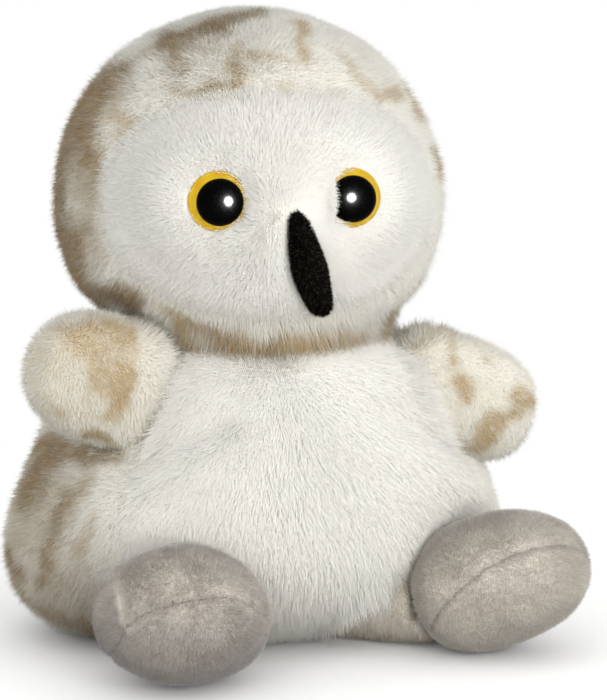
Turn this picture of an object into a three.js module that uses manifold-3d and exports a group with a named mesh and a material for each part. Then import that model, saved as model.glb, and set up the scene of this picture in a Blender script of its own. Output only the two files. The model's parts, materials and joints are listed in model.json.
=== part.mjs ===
// A small stuffed owl that sits on its base. A pear-shaped body holds a bean pouch under loose filling, and
// a ball-shaped head, two stub wings and two grey feet are each a stuffed sack that turns in a fabric dish.
// Millimetres, +Z up. The owl looks along -Y, so its own left side is +X. The origin lies on the base's flat
// face, under the middle of the body. Every form is the fabric's skin: the pile stands outside it.
import * as THREE from "three";
import { mergeVertices } from "three/addons/utils/BufferGeometryUtils.js";
import Module from "manifold-3d";

const wasm = await Module();
wasm.setup();

// Fabric and clearances
const fabricThickness = 1.3;
const gap = 0.3;
const turningGap = 0.5;
const cutOverrun = 20;

// Body: a pear that is wider than it is deep, flat where it rests
const bodyWidth = 93;
const bodyDepth = 70;
const bodyHeight = 58;
const bodySetback = 2;
const beanDepth = 15;
// Each level of the body: its height, half width and half depth as shares, and how far its middle lies back
const bodyLevelShares = [
  { height: 0.0, width: 0.6, depth: 0.5, back: 1.0 },
  { height: 0.06, width: 0.79, depth: 0.7, back: 0.8 },
  { height: 0.15, width: 0.93, depth: 0.88, back: 0.5 },
  { height: 0.29, width: 1.0, depth: 0.99, back: 0.15 },
  { height: 0.44, width: 0.96, depth: 1.0, back: 0.1 },
  { height: 0.62, width: 0.85, depth: 0.95, back: 0.25 },
  { height: 0.78, width: 0.75, depth: 0.88, back: 0.45 },
  { height: 0.92, width: 0.64, depth: 0.77, back: 0.6 },
  { height: 1.0, width: 0.5, depth: 0.62, back: 0.7 },
];
const bodyLean = 8;
const bellyHalfAngle = 58;

// Head: a ball with a rounder, smaller cap that sits in the body's top
const headWidth = 69;
const headDepth = 66;
const headTopHeight = 34;
const headRise = 24;
const headSetback = 5;
const headCapRadius = 32;
const headCapTopAngle = -44;
const headCheekBottomAngle = -22;
const headRestTurnAngle = -12;
const neckSeamWidth = 1.1;
const neckSeamTopAngle = -49;
const neckSeamBottomAngle = -57;

// Face panel, as it would be drawn on the front of the head
const faceWidth = 60;
const faceTop = 21;
const faceBottom = 20;
const faceFullness = 2.5;

// Eyes: a yellow plastic disc on a shank, a black dome on it, and a washer behind the fabric
const eyeSpreadAngle = 21;
const eyeLiftAngle = 5.5;
const eyeDiscRadius = 5.5;
const eyeDiscThickness = 1.1;
const eyeDiscCrown = 0.9;
const eyeDomeRadius = 4.3;
const eyeDomeHeight = 3.2;
const eyeShankRadius = 1.5;
const eyeShankLength = 7.5;
const eyeWasherRadius = 4.6;
const eyeWasherThickness = 0.8;

// Beak: a curved velour sack that follows the face down, sewn a little to the owl's left and leaning there
const beakTopAngle = 2;
const beakTipAngle = -31;
const beakTurnAngle = 4;
const beakWidth = 7.4;
const beakStandout = 7;
const beakBackShare = 0.4;
const beakLeanAngle = 11;
const beakSectionShares = [
  { along: 0.0, size: 0.3 },
  { along: 0.07, size: 0.56 },
  { along: 0.2, size: 0.82 },
  { along: 0.42, size: 1.0 },
  { along: 0.65, size: 0.93 },
  { along: 0.86, size: 0.76 },
  { along: 0.95, size: 0.6 },
  { along: 1.0, size: 0.3 },
];

// Wings: flat stubs that swell at the shoulder and taper to a blunt tip
const wingShoulderOutShare = 0.677;
const wingShoulderForwardShare = 0.257;
const wingLeftHeightShare = 0.767;
const wingRightHeightShare = 0.8655;
const wingHeight = 21.6;
const wingThickness = 14;
const wingReach = 19.5;
const wingFullness = 2.8;
const wingForwardAngle = 14;
const wingLeftRestAngle = -14;
const wingRightRestAngle = 18;
const wingLowestAngle = -14;

// Feet: fat grey sacks with a raised toe
const footAnkleOutShare = 0.624;
const footAnkleForwardShare = 0.986;
const footHeight = 23.6;
const footWidth = 29;
const footReach = 21;
const footFullness = 2.5;
const footSplayAngle = 41;
const footLeftRestAngle = 20;
const footRightRestAngle = 9;
const footFloorClearance = 0.3;

// Legs: short white tubes under the belly that carry the feet
const legHipOutShare = 0.27;
const legHipForwardShare = 0.4;
const legHeight = 17;
const legWidth = 18;
const legReach = 25;
const legFullness = 3;
const legFloorClearance = 0.6;

// Facets
const bodySides = 24;
const bodyRings = 12;
const headSides = 26;
const headRings = 14;
const dishSides = 26;
const dishRings = 13;
const faceSides = 40;
const limbSides = 14;
const limbRings = 9;
const beakSides = 10;
const eyeSides = 20;
const domeSteps = 4;

const rad = THREE.MathUtils.degToRad;
const sides = {
  left: {
    sign: 1,
    shoulderShare: wingLeftHeightShare,
    wingAngle: wingLeftRestAngle,
    footAngle: footLeftRestAngle,
  },
  right: {
    sign: -1,
    shoulderShare: wingRightHeightShare,
    wingAngle: wingRightRestAngle,
    footAngle: footRightRestAngle,
  },
};
const headCentre = new THREE.Vector3(0, headSetback, bodyHeight + headRise);

// A closed mesh as a solid that can be cut and joined
function solidOf(geometry, matrix = new THREE.Matrix4()) {
  const placed = geometry.clone().applyMatrix4(matrix);
  placed.deleteAttribute("normal");
  placed.deleteAttribute("uv");
  const merged = mergeVertices(placed);
  return new wasm.Manifold(new wasm.Mesh({
    numProp: 3,
    vertProperties: new Float32Array(merged.attributes.position.array),
    triVerts: new Uint32Array(merged.index.array),
  }));
}

function geometryOf(solid) {
  const mesh = solid.getMesh();
  const geometry = new THREE.BufferGeometry();
  geometry.setAttribute("position", new THREE.BufferAttribute(mesh.vertProperties, mesh.numProp));
  geometry.setIndex(new THREE.BufferAttribute(mesh.triVerts, 1));
  geometry.computeVertexNormals();
  return geometry;
}

// Closed surface through rings of equal length, with a point or a fan at each end
function loft(rings) {
  const count = rings[0].length;
  const points = rings.flat();
  const triangles = [];
  for (let ring = 0; ring < rings.length - 1; ring++) {
    for (let step = 0; step < count; step++) {
      const a = ring * count + step;
      const b = ring * count + ((step + 1) % count);
      triangles.push(a, b, b + count, a, b + count, a + count);
    }
  }
  const middle = (ring) => ring.reduce((sum, p) => sum.add(p), new THREE.Vector3()).divideScalar(count);
  const first = points.push(middle(rings[0])) - 1;
  const last = points.push(middle(rings.at(-1))) - 1;
  const lastStart = (rings.length - 1) * count;
  for (let step = 0; step < count; step++) {
    const next = (step + 1) % count;
    triangles.push(first, next, step, last, lastStart + step, lastStart + next);
  }
  const geometry = new THREE.BufferGeometry().setFromPoints(points);
  geometry.setIndex(triangles);
  return geometry;
}

// Smooth value along a table of shares, read at t from 0 to 1
function shareCurve(table, place, value) {
  const curve = new THREE.CatmullRomCurve3(
    table.map((row) => new THREE.Vector3(row[place], row[value], 0)), false, "centripetal");
  return (t) => curve.getPoint(t);
}

// The body's skin, moved outward by a distance: a stack of level ellipses
function bodyForm(outward) {
  const widths = shareCurve(bodyLevelShares, "height", "width");
  const depths = shareCurve(bodyLevelShares, "height", "depth");
  const backs = shareCurve(bodyLevelShares, "height", "back");
  const rings = [];
  for (let ring = 0; ring < bodyRings; ring++) {
    const t = ring / (bodyRings - 1);
    const level = widths(t);
    const halfWidth = level.y * bodyWidth / 2 + outward;
    const halfDepth = depths(t).y * bodyDepth / 2 + outward;
    const middle = bodySetback + backs(t).y * bodyLean;
    const z = level.x * (bodyHeight + 2 * outward) - outward;
    rings.push(Array.from({ length: bodySides }, (_, side) => {
      const angle = side / bodySides * 2 * Math.PI;
      return new THREE.Vector3(halfWidth * Math.cos(angle), middle + halfDepth * Math.sin(angle), z);
    }));
  }
  return solidOf(loft(rings));
}

// Half sizes of the full head, above its cap
const headHalf = new THREE.Vector3(headWidth / 2, headDepth / 2, headTopHeight);

// The head's skin about its own centre: an upright ball above, an exact ball of the cap's radius below
function headForm(outward) {
  const rings = [];
  for (let ring = 0; ring < headRings; ring++) {
    const lift = Math.PI * ((ring + 0.5) / headRings - 0.5);
    const cheek = THREE.MathUtils.smoothstep(lift, rad(headCapTopAngle), rad(headCheekBottomAngle));
    const [alongX, alongY, alongZ] = headHalf.toArray()
      .map((full) => THREE.MathUtils.lerp(headCapRadius, full, cheek) + outward);
    rings.push(Array.from({ length: headSides }, (_, side) => {
      const angle = side / headSides * 2 * Math.PI;
      return new THREE.Vector3(
        alongX * Math.cos(angle) * Math.cos(lift),
        alongY * Math.sin(angle) * Math.cos(lift),
        alongZ * Math.sin(lift));
    }));
  }
  return loft(rings);
}

// A limb about its root, reaching along +X: a round root that turns in its dish, then a full, blunt taper
function limbForm({ height, width, reach, fullness }, outward) {
  const rootRadius = height / 2 + outward;
  const halfWidth = width / 2 + outward;
  const length = reach + outward;
  const rings = [];
  for (let ring = 0; ring < limbRings; ring++) {
    const turn = Math.PI * (ring + 0.5) / limbRings;
    const inner = Math.cos(turn) > 0;
    const along = inner ? -rootRadius * Math.cos(turn) : -length * Math.cos(turn);
    const share = inner
      ? Math.sin(turn)
      : Math.pow(1 - Math.pow(Math.abs(along) / length, fullness), 1 / fullness);
    rings.push(Array.from({ length: limbSides }, (_, side) => {
      const angle = side / limbSides * 2 * Math.PI;
      return new THREE.Vector3(
        along, halfWidth * share * Math.cos(angle), rootRadius * share * Math.sin(angle));
    }));
  }
  return loft(rings);
}

// Place on the face in a direction from the head's centre, with +Z along the skin's normal
function onFace(turnAngle, liftAngle) {
  const toward = new THREE.Vector3(0, -1, 0)
    .applyAxisAngle(new THREE.Vector3(1, 0, 0), rad(-liftAngle))
    .applyAxisAngle(new THREE.Vector3(0, 0, 1), rad(turnAngle));
  const point = toward.clone().divideScalar(toward.clone().divide(headHalf).length());
  const normal = point.clone().divide(headHalf).divide(headHalf).normalize();
  const turned = new THREE.Quaternion().setFromUnitVectors(new THREE.Vector3(0, 0, 1), normal);
  return new THREE.Matrix4()
    .makeTranslation(point)
    .multiply(new THREE.Matrix4().makeRotationFromQuaternion(turned));
}

// The beak about the head's centre: rings down an arc in front of the face, each standing clear of the skin
function beakForm() {
  const sizes = shareCurve(beakSectionShares, "along", "size");
  const ringCount = beakSectionShares.length;
  const rings = [];
  for (let ring = 0; ring < ringCount; ring++) {
    const { x: along, y: size } = sizes(ring / (ringCount - 1));
    const lift = rad(THREE.MathUtils.lerp(beakTopAngle, beakTipAngle, along));
    const outward = new THREE.Vector3(0, -Math.cos(lift), Math.sin(lift));
    const middle = outward.clone().multiplyScalar(headHalf.y + beakBackShare * beakStandout * size);
    rings.push(Array.from({ length: beakSides }, (_, side) => {
      const angle = side / beakSides * 2 * Math.PI;
      return middle.clone()
        .addScaledVector(outward, (1 - beakBackShare) * beakStandout * size * Math.sin(angle))
        .add(new THREE.Vector3(beakWidth / 2 * size * Math.cos(angle), 0, 0));
    }));
  }
  const sewn = new THREE.Matrix4()
    .makeRotationZ(rad(beakTurnAngle))
    .multiply(new THREE.Matrix4().makeRotationY(rad(-beakLeanAngle)));
  return loft(rings).applyMatrix4(sewn);
}

// A solid of revolution about +Z from points of radius and height
function lathed(points) {
  return new THREE.LatheGeometry(points.map(([r, z]) => new THREE.Vector2(r, z)), eyeSides)
    .rotateX(Math.PI / 2);
}

// Places of the moving groups
const headPlace = new THREE.Matrix4()
  .makeTranslation(headCentre)
  .multiply(new THREE.Matrix4().makeRotationZ(rad(headRestTurnAngle)));

function limbPlace({ sign }, position, forwardAngle, lift) {
  const heading = sign > 0 ? -forwardAngle : 180 + forwardAngle;
  return new THREE.Matrix4()
    .makeTranslation(position)
    .multiply(new THREE.Matrix4().makeRotationZ(rad(heading)))
    .multiply(new THREE.Matrix4().makeRotationY(rad(-lift)));
}

const wingSize = { height: wingHeight, width: wingThickness, reach: wingReach, fullness: wingFullness };
const footSize = { height: footHeight, width: footWidth, reach: footReach, fullness: footFullness };
const legSize = { height: legHeight, width: legWidth, reach: legReach, fullness: legFullness };
const footForwardAngle = 90 - footSplayAngle;

function wingPlace(side, lift = side.wingAngle) {
  const shoulder = new THREE.Vector3(
    side.sign * wingShoulderOutShare * bodyWidth / 2,
    -wingShoulderForwardShare * bodyDepth / 2,
    side.shoulderShare * bodyHeight);
  return limbPlace(side, shoulder, wingForwardAngle, lift);
}

function footPlace(side) {
  const ankle = new THREE.Vector3(
    side.sign * footAnkleOutShare * bodyWidth / 2,
    -footAnkleForwardShare * bodyDepth / 2,
    footHeight / 2 + footFloorClearance);
  return limbPlace(side, ankle, footForwardAngle, side.footAngle);
}

function legPlace(side) {
  const hip = new THREE.Vector3(
    side.sign * legHipOutShare * bodyWidth / 2,
    -legHipForwardShare * bodyDepth / 2,
    legHeight / 2 + legFloorClearance);
  return limbPlace(side, hip, footForwardAngle, 0);
}

// The dishes that the head and the limbs turn in, moved outward by a distance
function dishes(outward) {
  const neckDish = new THREE.SphereGeometry(
    headCapRadius + neckSeamWidth + 3 * gap + outward, dishSides, dishRings);
  let all = solidOf(neckDish.rotateX(Math.PI / 2), headPlace);
  for (const side of Object.values(sides)) {
    all = all.add(solidOf(limbForm(wingSize, turningGap + outward), wingPlace(side, wingLowestAngle)));
    all = all.add(solidOf(limbForm(footSize, turningGap + outward), footPlace(side)));
  }
  return all;
}

// A prism that holds everything within an angle of the owl's front
function frontWedge(halfAngle) {
  const far = bodyWidth;
  const shape = new THREE.Shape([
    new THREE.Vector2(0, 0),
    new THREE.Vector2(-far * Math.tan(rad(halfAngle)), -far),
    new THREE.Vector2(far * Math.tan(rad(halfAngle)), -far),
  ]);
  const height = bodyHeight + 2 * cutOverrun;
  const prism = new THREE.ExtrudeGeometry(shape, { depth: height, bevelEnabled: false });
  return prism.translate(0, bodySetback, -cutOverrun);
}

// A slab across the whole body between two heights
function slab(bottom, top) {
  const span = 2 * bodyWidth;
  return new THREE.BoxGeometry(span, span, top - bottom).translate(0, 0, (top + bottom) / 2);
}

// The face panel's outline as a cutter that runs forward from the head's middle
function faceCutter(outward) {
  const points = [];
  for (let step = 0; step < faceSides; step++) {
    const angle = step / faceSides * 2 * Math.PI;
    const power = 2 / faceFullness;
    const across = Math.sign(Math.cos(angle)) * Math.pow(Math.abs(Math.cos(angle)), power);
    const upward = Math.sign(Math.sin(angle)) * Math.pow(Math.abs(Math.sin(angle)), power);
    const tall = upward > 0 ? faceTop : faceBottom;
    points.push(new THREE.Vector2(across * (faceWidth / 2 + outward), upward * (tall + outward)));
  }
  const prism = new THREE.ExtrudeGeometry(new THREE.Shape(points), { depth: headDepth, bevelEnabled: false });
  return prism.rotateX(Math.PI / 2);
}

// Half space on one side of a limb's own middle plane, as a large box in the limb's frame
function limbHalf({ reach }, axis, sign) {
  const span = 4 * reach;
  const box = new THREE.BoxGeometry(span, span, span);
  const shift = new THREE.Vector3().setComponent(axis, sign * (span / 2 + gap / 2));
  return box.translate(shift.x, shift.y, shift.z);
}

const material = (color, roughness, metalness = 0) =>
  new THREE.MeshStandardMaterial({ color, roughness, metalness });
const finishes = {
  spottedPlush: material(0xd8cdbb, 0.95),
  whitePlush: material(0xf1efe9, 0.95),
  greyVelour: material(0xa59c97, 0.9),
  blackVelour: material(0x17140f, 0.95),
  filling: material(0xe9e7e2, 1),
  beans: material(0xcfc8ba, 0.8),
  thread: material(0xe6e0d2, 0.8),
  yellowPlastic: material(0xe9b421, 0.25),
  blackPlastic: material(0x050505, 0.08),
  whitePlastic: material(0xdadad6, 0.4),
};

const owl = new THREE.Group();

function add(name, solid, finish, parent = owl) {
  const mesh = new THREE.Mesh(geometryOf(solid), finishes[finish]);
  mesh.name = name;
  parent.add(mesh);
}

// Body: back, belly and base panels round the filling, with the bean pouch under it
const bodyOuter = bodyForm(0).subtract(dishes(0));
const bodyInner = bodyForm(-fabricThickness).subtract(dishes(fabricThickness));
const bodySack = bodyOuter.subtract(bodyInner);
const bodyFill = bodyForm(-fabricThickness - gap).subtract(dishes(fabricThickness + gap));
const baseTop = fabricThickness;
const aboveBase = solidOf(slab(baseTop + gap, bodyHeight + cutOverrun));
const belly = solidOf(frontWedge(bellyHalfAngle));
const seamAngle = THREE.MathUtils.radToDeg(gap / (bodyWidth / 4));
const bellyAndSeam = solidOf(frontWedge(bellyHalfAngle + seamAngle));
add("back_cover", bodySack.intersect(aboveBase).subtract(bellyAndSeam), "spottedPlush");
add("belly_cover", bodySack.intersect(aboveBase).intersect(belly), "whitePlush");
add("base_cover", bodyOuter.intersect(solidOf(slab(-cutOverrun, baseTop))), "spottedPlush");
const pouchTop = fabricThickness + beanDepth;
add("bean_pouch", bodyFill.intersect(solidOf(slab(baseTop + gap, pouchTop))), "beans");
add("body_stuffing", bodyFill.intersect(solidOf(slab(pouchTop + gap, bodyHeight + cutOverrun))), "filling");

// Legs: what stands clear of the body and of the feet
for (const [name, side] of Object.entries(sides)) {
  const leg = solidOf(limbForm(legSize, 0), legPlace(side))
    .subtract(bodyForm(gap))
    .subtract(solidOf(limbForm(footSize, turningGap), footPlace(side)));
  add(`leg_${name}`, leg, "whitePlush");
}

// Neck: the sewn ring between the head's cap and the body's dish
const seamInner = headCapRadius + gap;
const seamOuter = seamInner + neckSeamWidth;
const onCap = (radius, lift) => [radius * Math.cos(rad(lift)), radius * Math.sin(rad(lift))];
const neckProfile = [
  onCap(seamInner, neckSeamBottomAngle),
  onCap(seamOuter, neckSeamBottomAngle),
  onCap(seamOuter, neckSeamTopAngle),
  onCap(seamInner, neckSeamTopAngle),
  onCap(seamInner, neckSeamBottomAngle),
];
add("neck_seam", solidOf(lathed(neckProfile), headPlace), "thread");

// Head: a spotted cover with a white face panel let in, round its filling
const headOuter = solidOf(headForm(0));
const headSack = headOuter.subtract(solidOf(headForm(-fabricThickness)));
let headFill = solidOf(headForm(-fabricThickness - gap));
let faceCover = headSack.intersect(solidOf(faceCutter(0)));
add("head_cover", headSack.subtract(solidOf(faceCutter(gap))).transform(headPlace.elements), "spottedPlush");

// Eyes: each seated on the face, with its shank through the panel and its washer behind
const eyeDiscTop = eyeDiscThickness + eyeDiscCrown;
const faceRadius = Math.min(...headHalf.toArray());
const eyeSeat = 2 * gap;
const washerSag = faceRadius - Math.sqrt(faceRadius ** 2 - eyeWasherRadius ** 2);
const washerTop = -(eyeSeat + fabricThickness + 2 * gap + washerSag);
const eyeProfile = [
  [0, -eyeShankLength],
  [eyeShankRadius, -eyeShankLength],
  [eyeShankRadius, 0],
  [eyeDiscRadius, 0],
  [eyeDiscRadius, eyeDiscThickness],
  [eyeDomeRadius, eyeDiscTop],
  [0, eyeDiscTop],
];
const domeProfile = [[0, eyeDiscTop + gap]];
for (let step = 0; step <= domeSteps; step++) {
  const lift = rad(90 * step / domeSteps);
  const radius = step < domeSteps ? eyeDomeRadius * Math.cos(lift) : 0;
  domeProfile.push([radius, eyeDiscTop + gap + eyeDomeHeight * Math.sin(lift)]);
}
const washerProfile = (radius, hole, bottom, top) =>
  [[hole, bottom], [radius, bottom], [radius, top], [hole, top], [hole, bottom]];
for (const [name, side] of Object.entries(sides)) {
  const place = onFace(side.sign * eyeSpreadAngle, eyeLiftAngle)
    .multiply(new THREE.Matrix4().makeTranslation(0, 0, eyeSeat));
  const inHead = headPlace.clone().multiply(place);
  const shankHole = eyeShankRadius + gap;
  const holeProfile = [
    [0, -eyeShankLength - gap],
    [shankHole, -eyeShankLength - gap],
    [shankHole, cutOverrun],
    [0, cutOverrun],
  ];
  const pocketBottom = washerTop - eyeWasherThickness - gap;
  const pocketProfile = [
    [0, pocketBottom],
    [eyeWasherRadius + gap, pocketBottom],
    [eyeWasherRadius + gap, cutOverrun],
    [0, cutOverrun],
  ];
  faceCover = faceCover.subtract(solidOf(lathed(holeProfile), place));
  headFill = headFill
    .subtract(solidOf(lathed(holeProfile), place))
    .subtract(solidOf(lathed(pocketProfile), place));
  const washer = washerProfile(eyeWasherRadius, shankHole, washerTop - eyeWasherThickness, washerTop);
  add(`eye_disc_${name}`, solidOf(lathed(eyeProfile), inHead), "yellowPlastic");
  add(`eye_dome_${name}`, solidOf(lathed(domeProfile), inHead), "blackPlastic");
  add(`eye_washer_${name}`, solidOf(lathed(washer), inHead), "whitePlastic");
}
add("face_cover", faceCover.transform(headPlace.elements), "whitePlush");
add("head_stuffing", headFill.transform(headPlace.elements), "filling");
const beak = solidOf(beakForm()).subtract(solidOf(headForm(gap)));
add("beak", beak.transform(headPlace.elements), "blackVelour");

// Wings and feet: each a sack of two panels, sewn along its middle, round its filling
function addLimb(limb, size, place, axis, panels) {
  const sack = solidOf(limbForm(size, 0)).subtract(solidOf(limbForm(size, -fabricThickness)));
  for (const [panel, sign, finish] of panels) {
    const half = sack.intersect(solidOf(limbHalf(size, axis, sign)));
    add(`${limb}_${panel}`, half.transform(place.elements), finish);
  }
  const filling = solidOf(limbForm(size, -fabricThickness - gap), place);
  add(`${limb}_stuffing`, filling, "filling");
}

for (const [name, side] of Object.entries(sides)) {
  addLimb(`wing_${name}`, wingSize, wingPlace(side), 1,
    [["front_cover", -side.sign, "spottedPlush"], ["back_cover", side.sign, "spottedPlush"]]);
  addLimb(`foot_${name}`, footSize, footPlace(side), 2,
    [["upper_cover", 1, "greyVelour"], ["lower_cover", -1, "greyVelour"]]);
}

export default owl;
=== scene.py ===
"""A small stuffed owl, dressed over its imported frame.

The owl is a set of sewn sacks. Each sack is a skin, cut into the panels of its pattern, filled, and covered
with a pile of separate fibres that lie along the nap. Only the eyes are hard. Thread closes the neck.
Lengths are in metres. MM turns the pattern's millimetres into them.
"""

import json
import logging
import math
from dataclasses import dataclass, field
from enum import Enum
from functools import cache
from typing import Callable, Union

import bpy
import numpy as np
from mathutils import Matrix, Vector, noise
from mathutils.bvhtree import BVHTree


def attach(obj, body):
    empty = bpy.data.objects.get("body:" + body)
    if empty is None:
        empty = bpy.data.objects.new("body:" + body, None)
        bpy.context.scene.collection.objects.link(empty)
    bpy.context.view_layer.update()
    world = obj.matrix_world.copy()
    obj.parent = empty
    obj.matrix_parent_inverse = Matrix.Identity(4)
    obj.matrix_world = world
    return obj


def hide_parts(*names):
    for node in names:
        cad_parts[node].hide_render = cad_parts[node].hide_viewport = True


MM = 0.001
FAR = 1.0
MOST_FIBRES = 66000
LOG = logging.getLogger("owl")

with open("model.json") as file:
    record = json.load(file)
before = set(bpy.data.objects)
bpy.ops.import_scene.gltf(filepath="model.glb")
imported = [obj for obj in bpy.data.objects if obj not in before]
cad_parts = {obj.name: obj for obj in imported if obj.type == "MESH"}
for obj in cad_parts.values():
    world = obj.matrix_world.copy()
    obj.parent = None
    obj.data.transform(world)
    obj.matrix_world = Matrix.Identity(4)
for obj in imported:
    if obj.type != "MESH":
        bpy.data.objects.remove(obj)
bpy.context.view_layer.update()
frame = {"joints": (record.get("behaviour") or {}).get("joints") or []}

Points = np.ndarray
Field = np.ndarray
Marks = np.ndarray
Colour = tuple[float, float, float, float]
Socket = bpy.types.NodeSocket
Value = Union[bpy.types.NodeSocket, float, tuple]


class Side(Enum):
    """The owl's own side that a paired piece is on."""

    LEFT = 1
    RIGHT = -1

    @property
    def word(self) -> str:
        """The side's name as nodes and bodies use it."""
        return self.name.lower()


def joint(name: str) -> dict:
    """Finds a joint of the frame.

    Args:
        name: The joint's name.

    Returns:
        The joint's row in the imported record.
    """
    return next(row for row in frame["joints"] if row["name"] == name)


def unit(vectors: Points) -> Points:
    """Scales vectors to length one, along the last axis."""
    return vectors / np.maximum(np.linalg.norm(vectors, axis=-1, keepdims=True), 1e-12)


def smoothstep(low: float, high: float, value: Field) -> Field:
    """Rises smoothly from 0 at low to 1 at high."""
    share = np.clip((value - low) / (high - low), 0, 1)
    return share * share * (3 - 2 * share)


def noise_at(points: Points, size: float, seed: float = 0.0) -> Field:
    """Smooth noise from about -1 to 1.

    Args:
        points: Places, one a row.
        size: Width of the noise's lumps.
        seed: Shifts the noise, so that two fields differ.

    Returns:
        One value for each place.
    """
    shift = Vector((seed, 2.3 * seed, -1.7 * seed))
    return np.array([noise.noise(Vector(p) / size + shift) for p in points])


@dataclass(frozen=True)
class Viewpoint:
    """Where the photograph was taken from, worked out from the owl's outline.

    The aim is a place on the owl's axis. Its pixel in the photograph is aim_across and aim_down.
    """

    azimuth: float = math.radians(-24)
    elevation: float = math.radians(9)
    distance: float = 700 * MM
    aim_height: float = 60 * MM
    aim_across: float = 260
    aim_down: float = 314
    image_width: float = 607
    image_height: float = 700
    pixels_per_mm: float = 5.3
    film: float = 36.0
    nearest: float = 10 * MM

    @property
    def focal(self) -> float:
        """Focal length in pixels."""
        return self.pixels_per_mm * self.distance / MM

    @property
    def back(self) -> Vector:
        """Direction from the owl to the camera."""
        level = math.cos(self.elevation)
        across, ahead = math.sin(self.azimuth) * level, -math.cos(self.azimuth) * level
        return Vector((across, ahead, math.sin(self.elevation)))

    @property
    def right(self) -> Vector:
        """Direction to the picture's right."""
        return Vector((math.cos(self.azimuth), math.sin(self.azimuth), 0))

    @property
    def up(self) -> Vector:
        """Direction to the picture's top."""
        return self.back.cross(self.right)

    @property
    def eye(self) -> Vector:
        """The camera's place."""
        across = (self.image_width / 2 - self.aim_across) / self.focal * self.distance
        down = (self.image_height / 2 - self.aim_down) / self.focal * self.distance
        aim = Vector((0, 0, self.aim_height))
        return aim + self.back * self.distance + self.right * across - self.up * down

    def toward(self, across: float, down: float) -> Vector:
        """Direction of the ray through a pixel of the photograph."""
        x = (across - self.image_width / 2) / self.focal
        y = (self.image_height / 2 - down) / self.focal
        return (self.right * x + self.up * y - self.back).normalized()

    def place(self) -> bpy.types.Object:
        """Adds the camera to the scene.

        Returns:
            The camera's object.
        """
        data = bpy.data.cameras.new("camera")
        data.sensor_width = self.film
        data.lens = self.focal / self.image_height * self.film
        data.clip_start = self.nearest
        camera = bpy.data.objects.new("camera", data)
        axes = Matrix((self.right, self.up, self.back)).transposed()
        camera.matrix_world = Matrix.Translation(self.eye) @ axes.to_4x4()
        bpy.context.scene.collection.objects.link(camera)
        bpy.context.scene.camera = camera
        return camera


VIEW = Viewpoint()


class Tree:
    """Adds nodes to a node tree and links them."""

    def __init__(self, tree: bpy.types.NodeTree) -> None:
        """Keeps the tree, emptied."""
        self.tree = tree
        tree.nodes.clear()

    def add(self, kind: str, inputs: dict | None = None, **settings: object) -> bpy.types.Node:
        """Adds one node.

        Args:
            kind: The node's type name, without ShaderNode before it.
            inputs: Values or sockets for the node's inputs, by name or number.
            settings: The node's own settings.

        Returns:
            The node.
        """
        node = self.tree.nodes.new(kind if kind.startswith("Node") else "ShaderNode" + kind)
        for name, value in settings.items():
            setattr(node, name, value)
        for name, value in (inputs or {}).items():
            if isinstance(value, Socket):
                self.tree.links.new(value, node.inputs[name])
            else:
                node.inputs[name].default_value = value
        return node

    def math(self, operation: str, *values: Value) -> Socket:
        """One sum or product of sockets or numbers."""
        return self.add("Math", dict(enumerate(values)), operation=operation).outputs[0]

    def mix(self, share: Value, first: Value, second: Value) -> Socket:
        """Mixes two colours by a share from 0 to 1."""
        return self.add("Mix", {0: share, 6: first, 7: second}, data_type="RGBA").outputs[2]

    def scaled(self, colour: Value, share: Value) -> Socket:
        """A colour made brighter or darker by a share."""
        return self.add("VectorMath", {0: colour, "Scale": share}, operation="SCALE").outputs[0]

    def ramp(self, value: Value, low: Value, high: Value, start: float = 0.0, end: float = 1.0) -> Socket:
        """Maps a value smoothly from one range to another."""
        inputs = {"Value": value, "From Min": low, "From Max": high, "To Min": start, "To Max": end}
        return self.add("MapRange", inputs, interpolation_type="SMOOTHSTEP").outputs[0]

    def noise(self, place: Value, **inputs: Value) -> Socket:
        """Smooth noise, with its scale, detail, roughness and distortion by name."""
        named = {name.title(): value for name, value in inputs.items()}
        return self.add("TexNoise", {"Vector": place, **named}).outputs[0]

    def attribute(self, name: str, output: str = "Fac") -> Socket:
        """Reads a named field of the mesh."""
        return self.add("Attribute", attribute_name=name, attribute_type="GEOMETRY").outputs[output]


def srgb(red: int, green: int, blue: int) -> Colour:
    """A colour as seen on a screen, from 0 to 255, in the linear values that shaders use."""
    linear = [((c / 255 + 0.055) / 1.055) ** 2.4 if c > 10 else c / 255 / 12.92 for c in (red, green, blue)]
    return (*linear, 1.0)


def effect(name: str, inputs: dict[str, tuple[str, object]], outputs: dict[str, str],
           build: Callable[[Tree, bpy.types.Node], dict]) -> bpy.types.NodeTree:
    """Builds a node group once, and finds it again afterwards.

    Args:
        name: The group's name.
        inputs: Each input's socket type and usual value.
        outputs: Each output's socket type.
        build: Adds the nodes, and returns the socket for each output.

    Returns:
        The group.
    """
    if name in bpy.data.node_groups:
        return bpy.data.node_groups[name]
    group = bpy.data.node_groups.new(name, "ShaderNodeTree")
    for label, (kind, value) in inputs.items():
        socket = group.interface.new_socket(label, in_out="INPUT", socket_type="NodeSocket" + kind)
        if value is not None:
            socket.default_value = value
    for label, kind in outputs.items():
        group.interface.new_socket(label, in_out="OUTPUT", socket_type="NodeSocket" + kind)
    tree = Tree(group)
    entry = tree.add("NodeGroupInput")
    made = build(tree, entry)
    tree.add("NodeGroupOutput", made)
    return group


PURE_WHITE = (1.0, 1.0, 1.0, 1.0)


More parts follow.
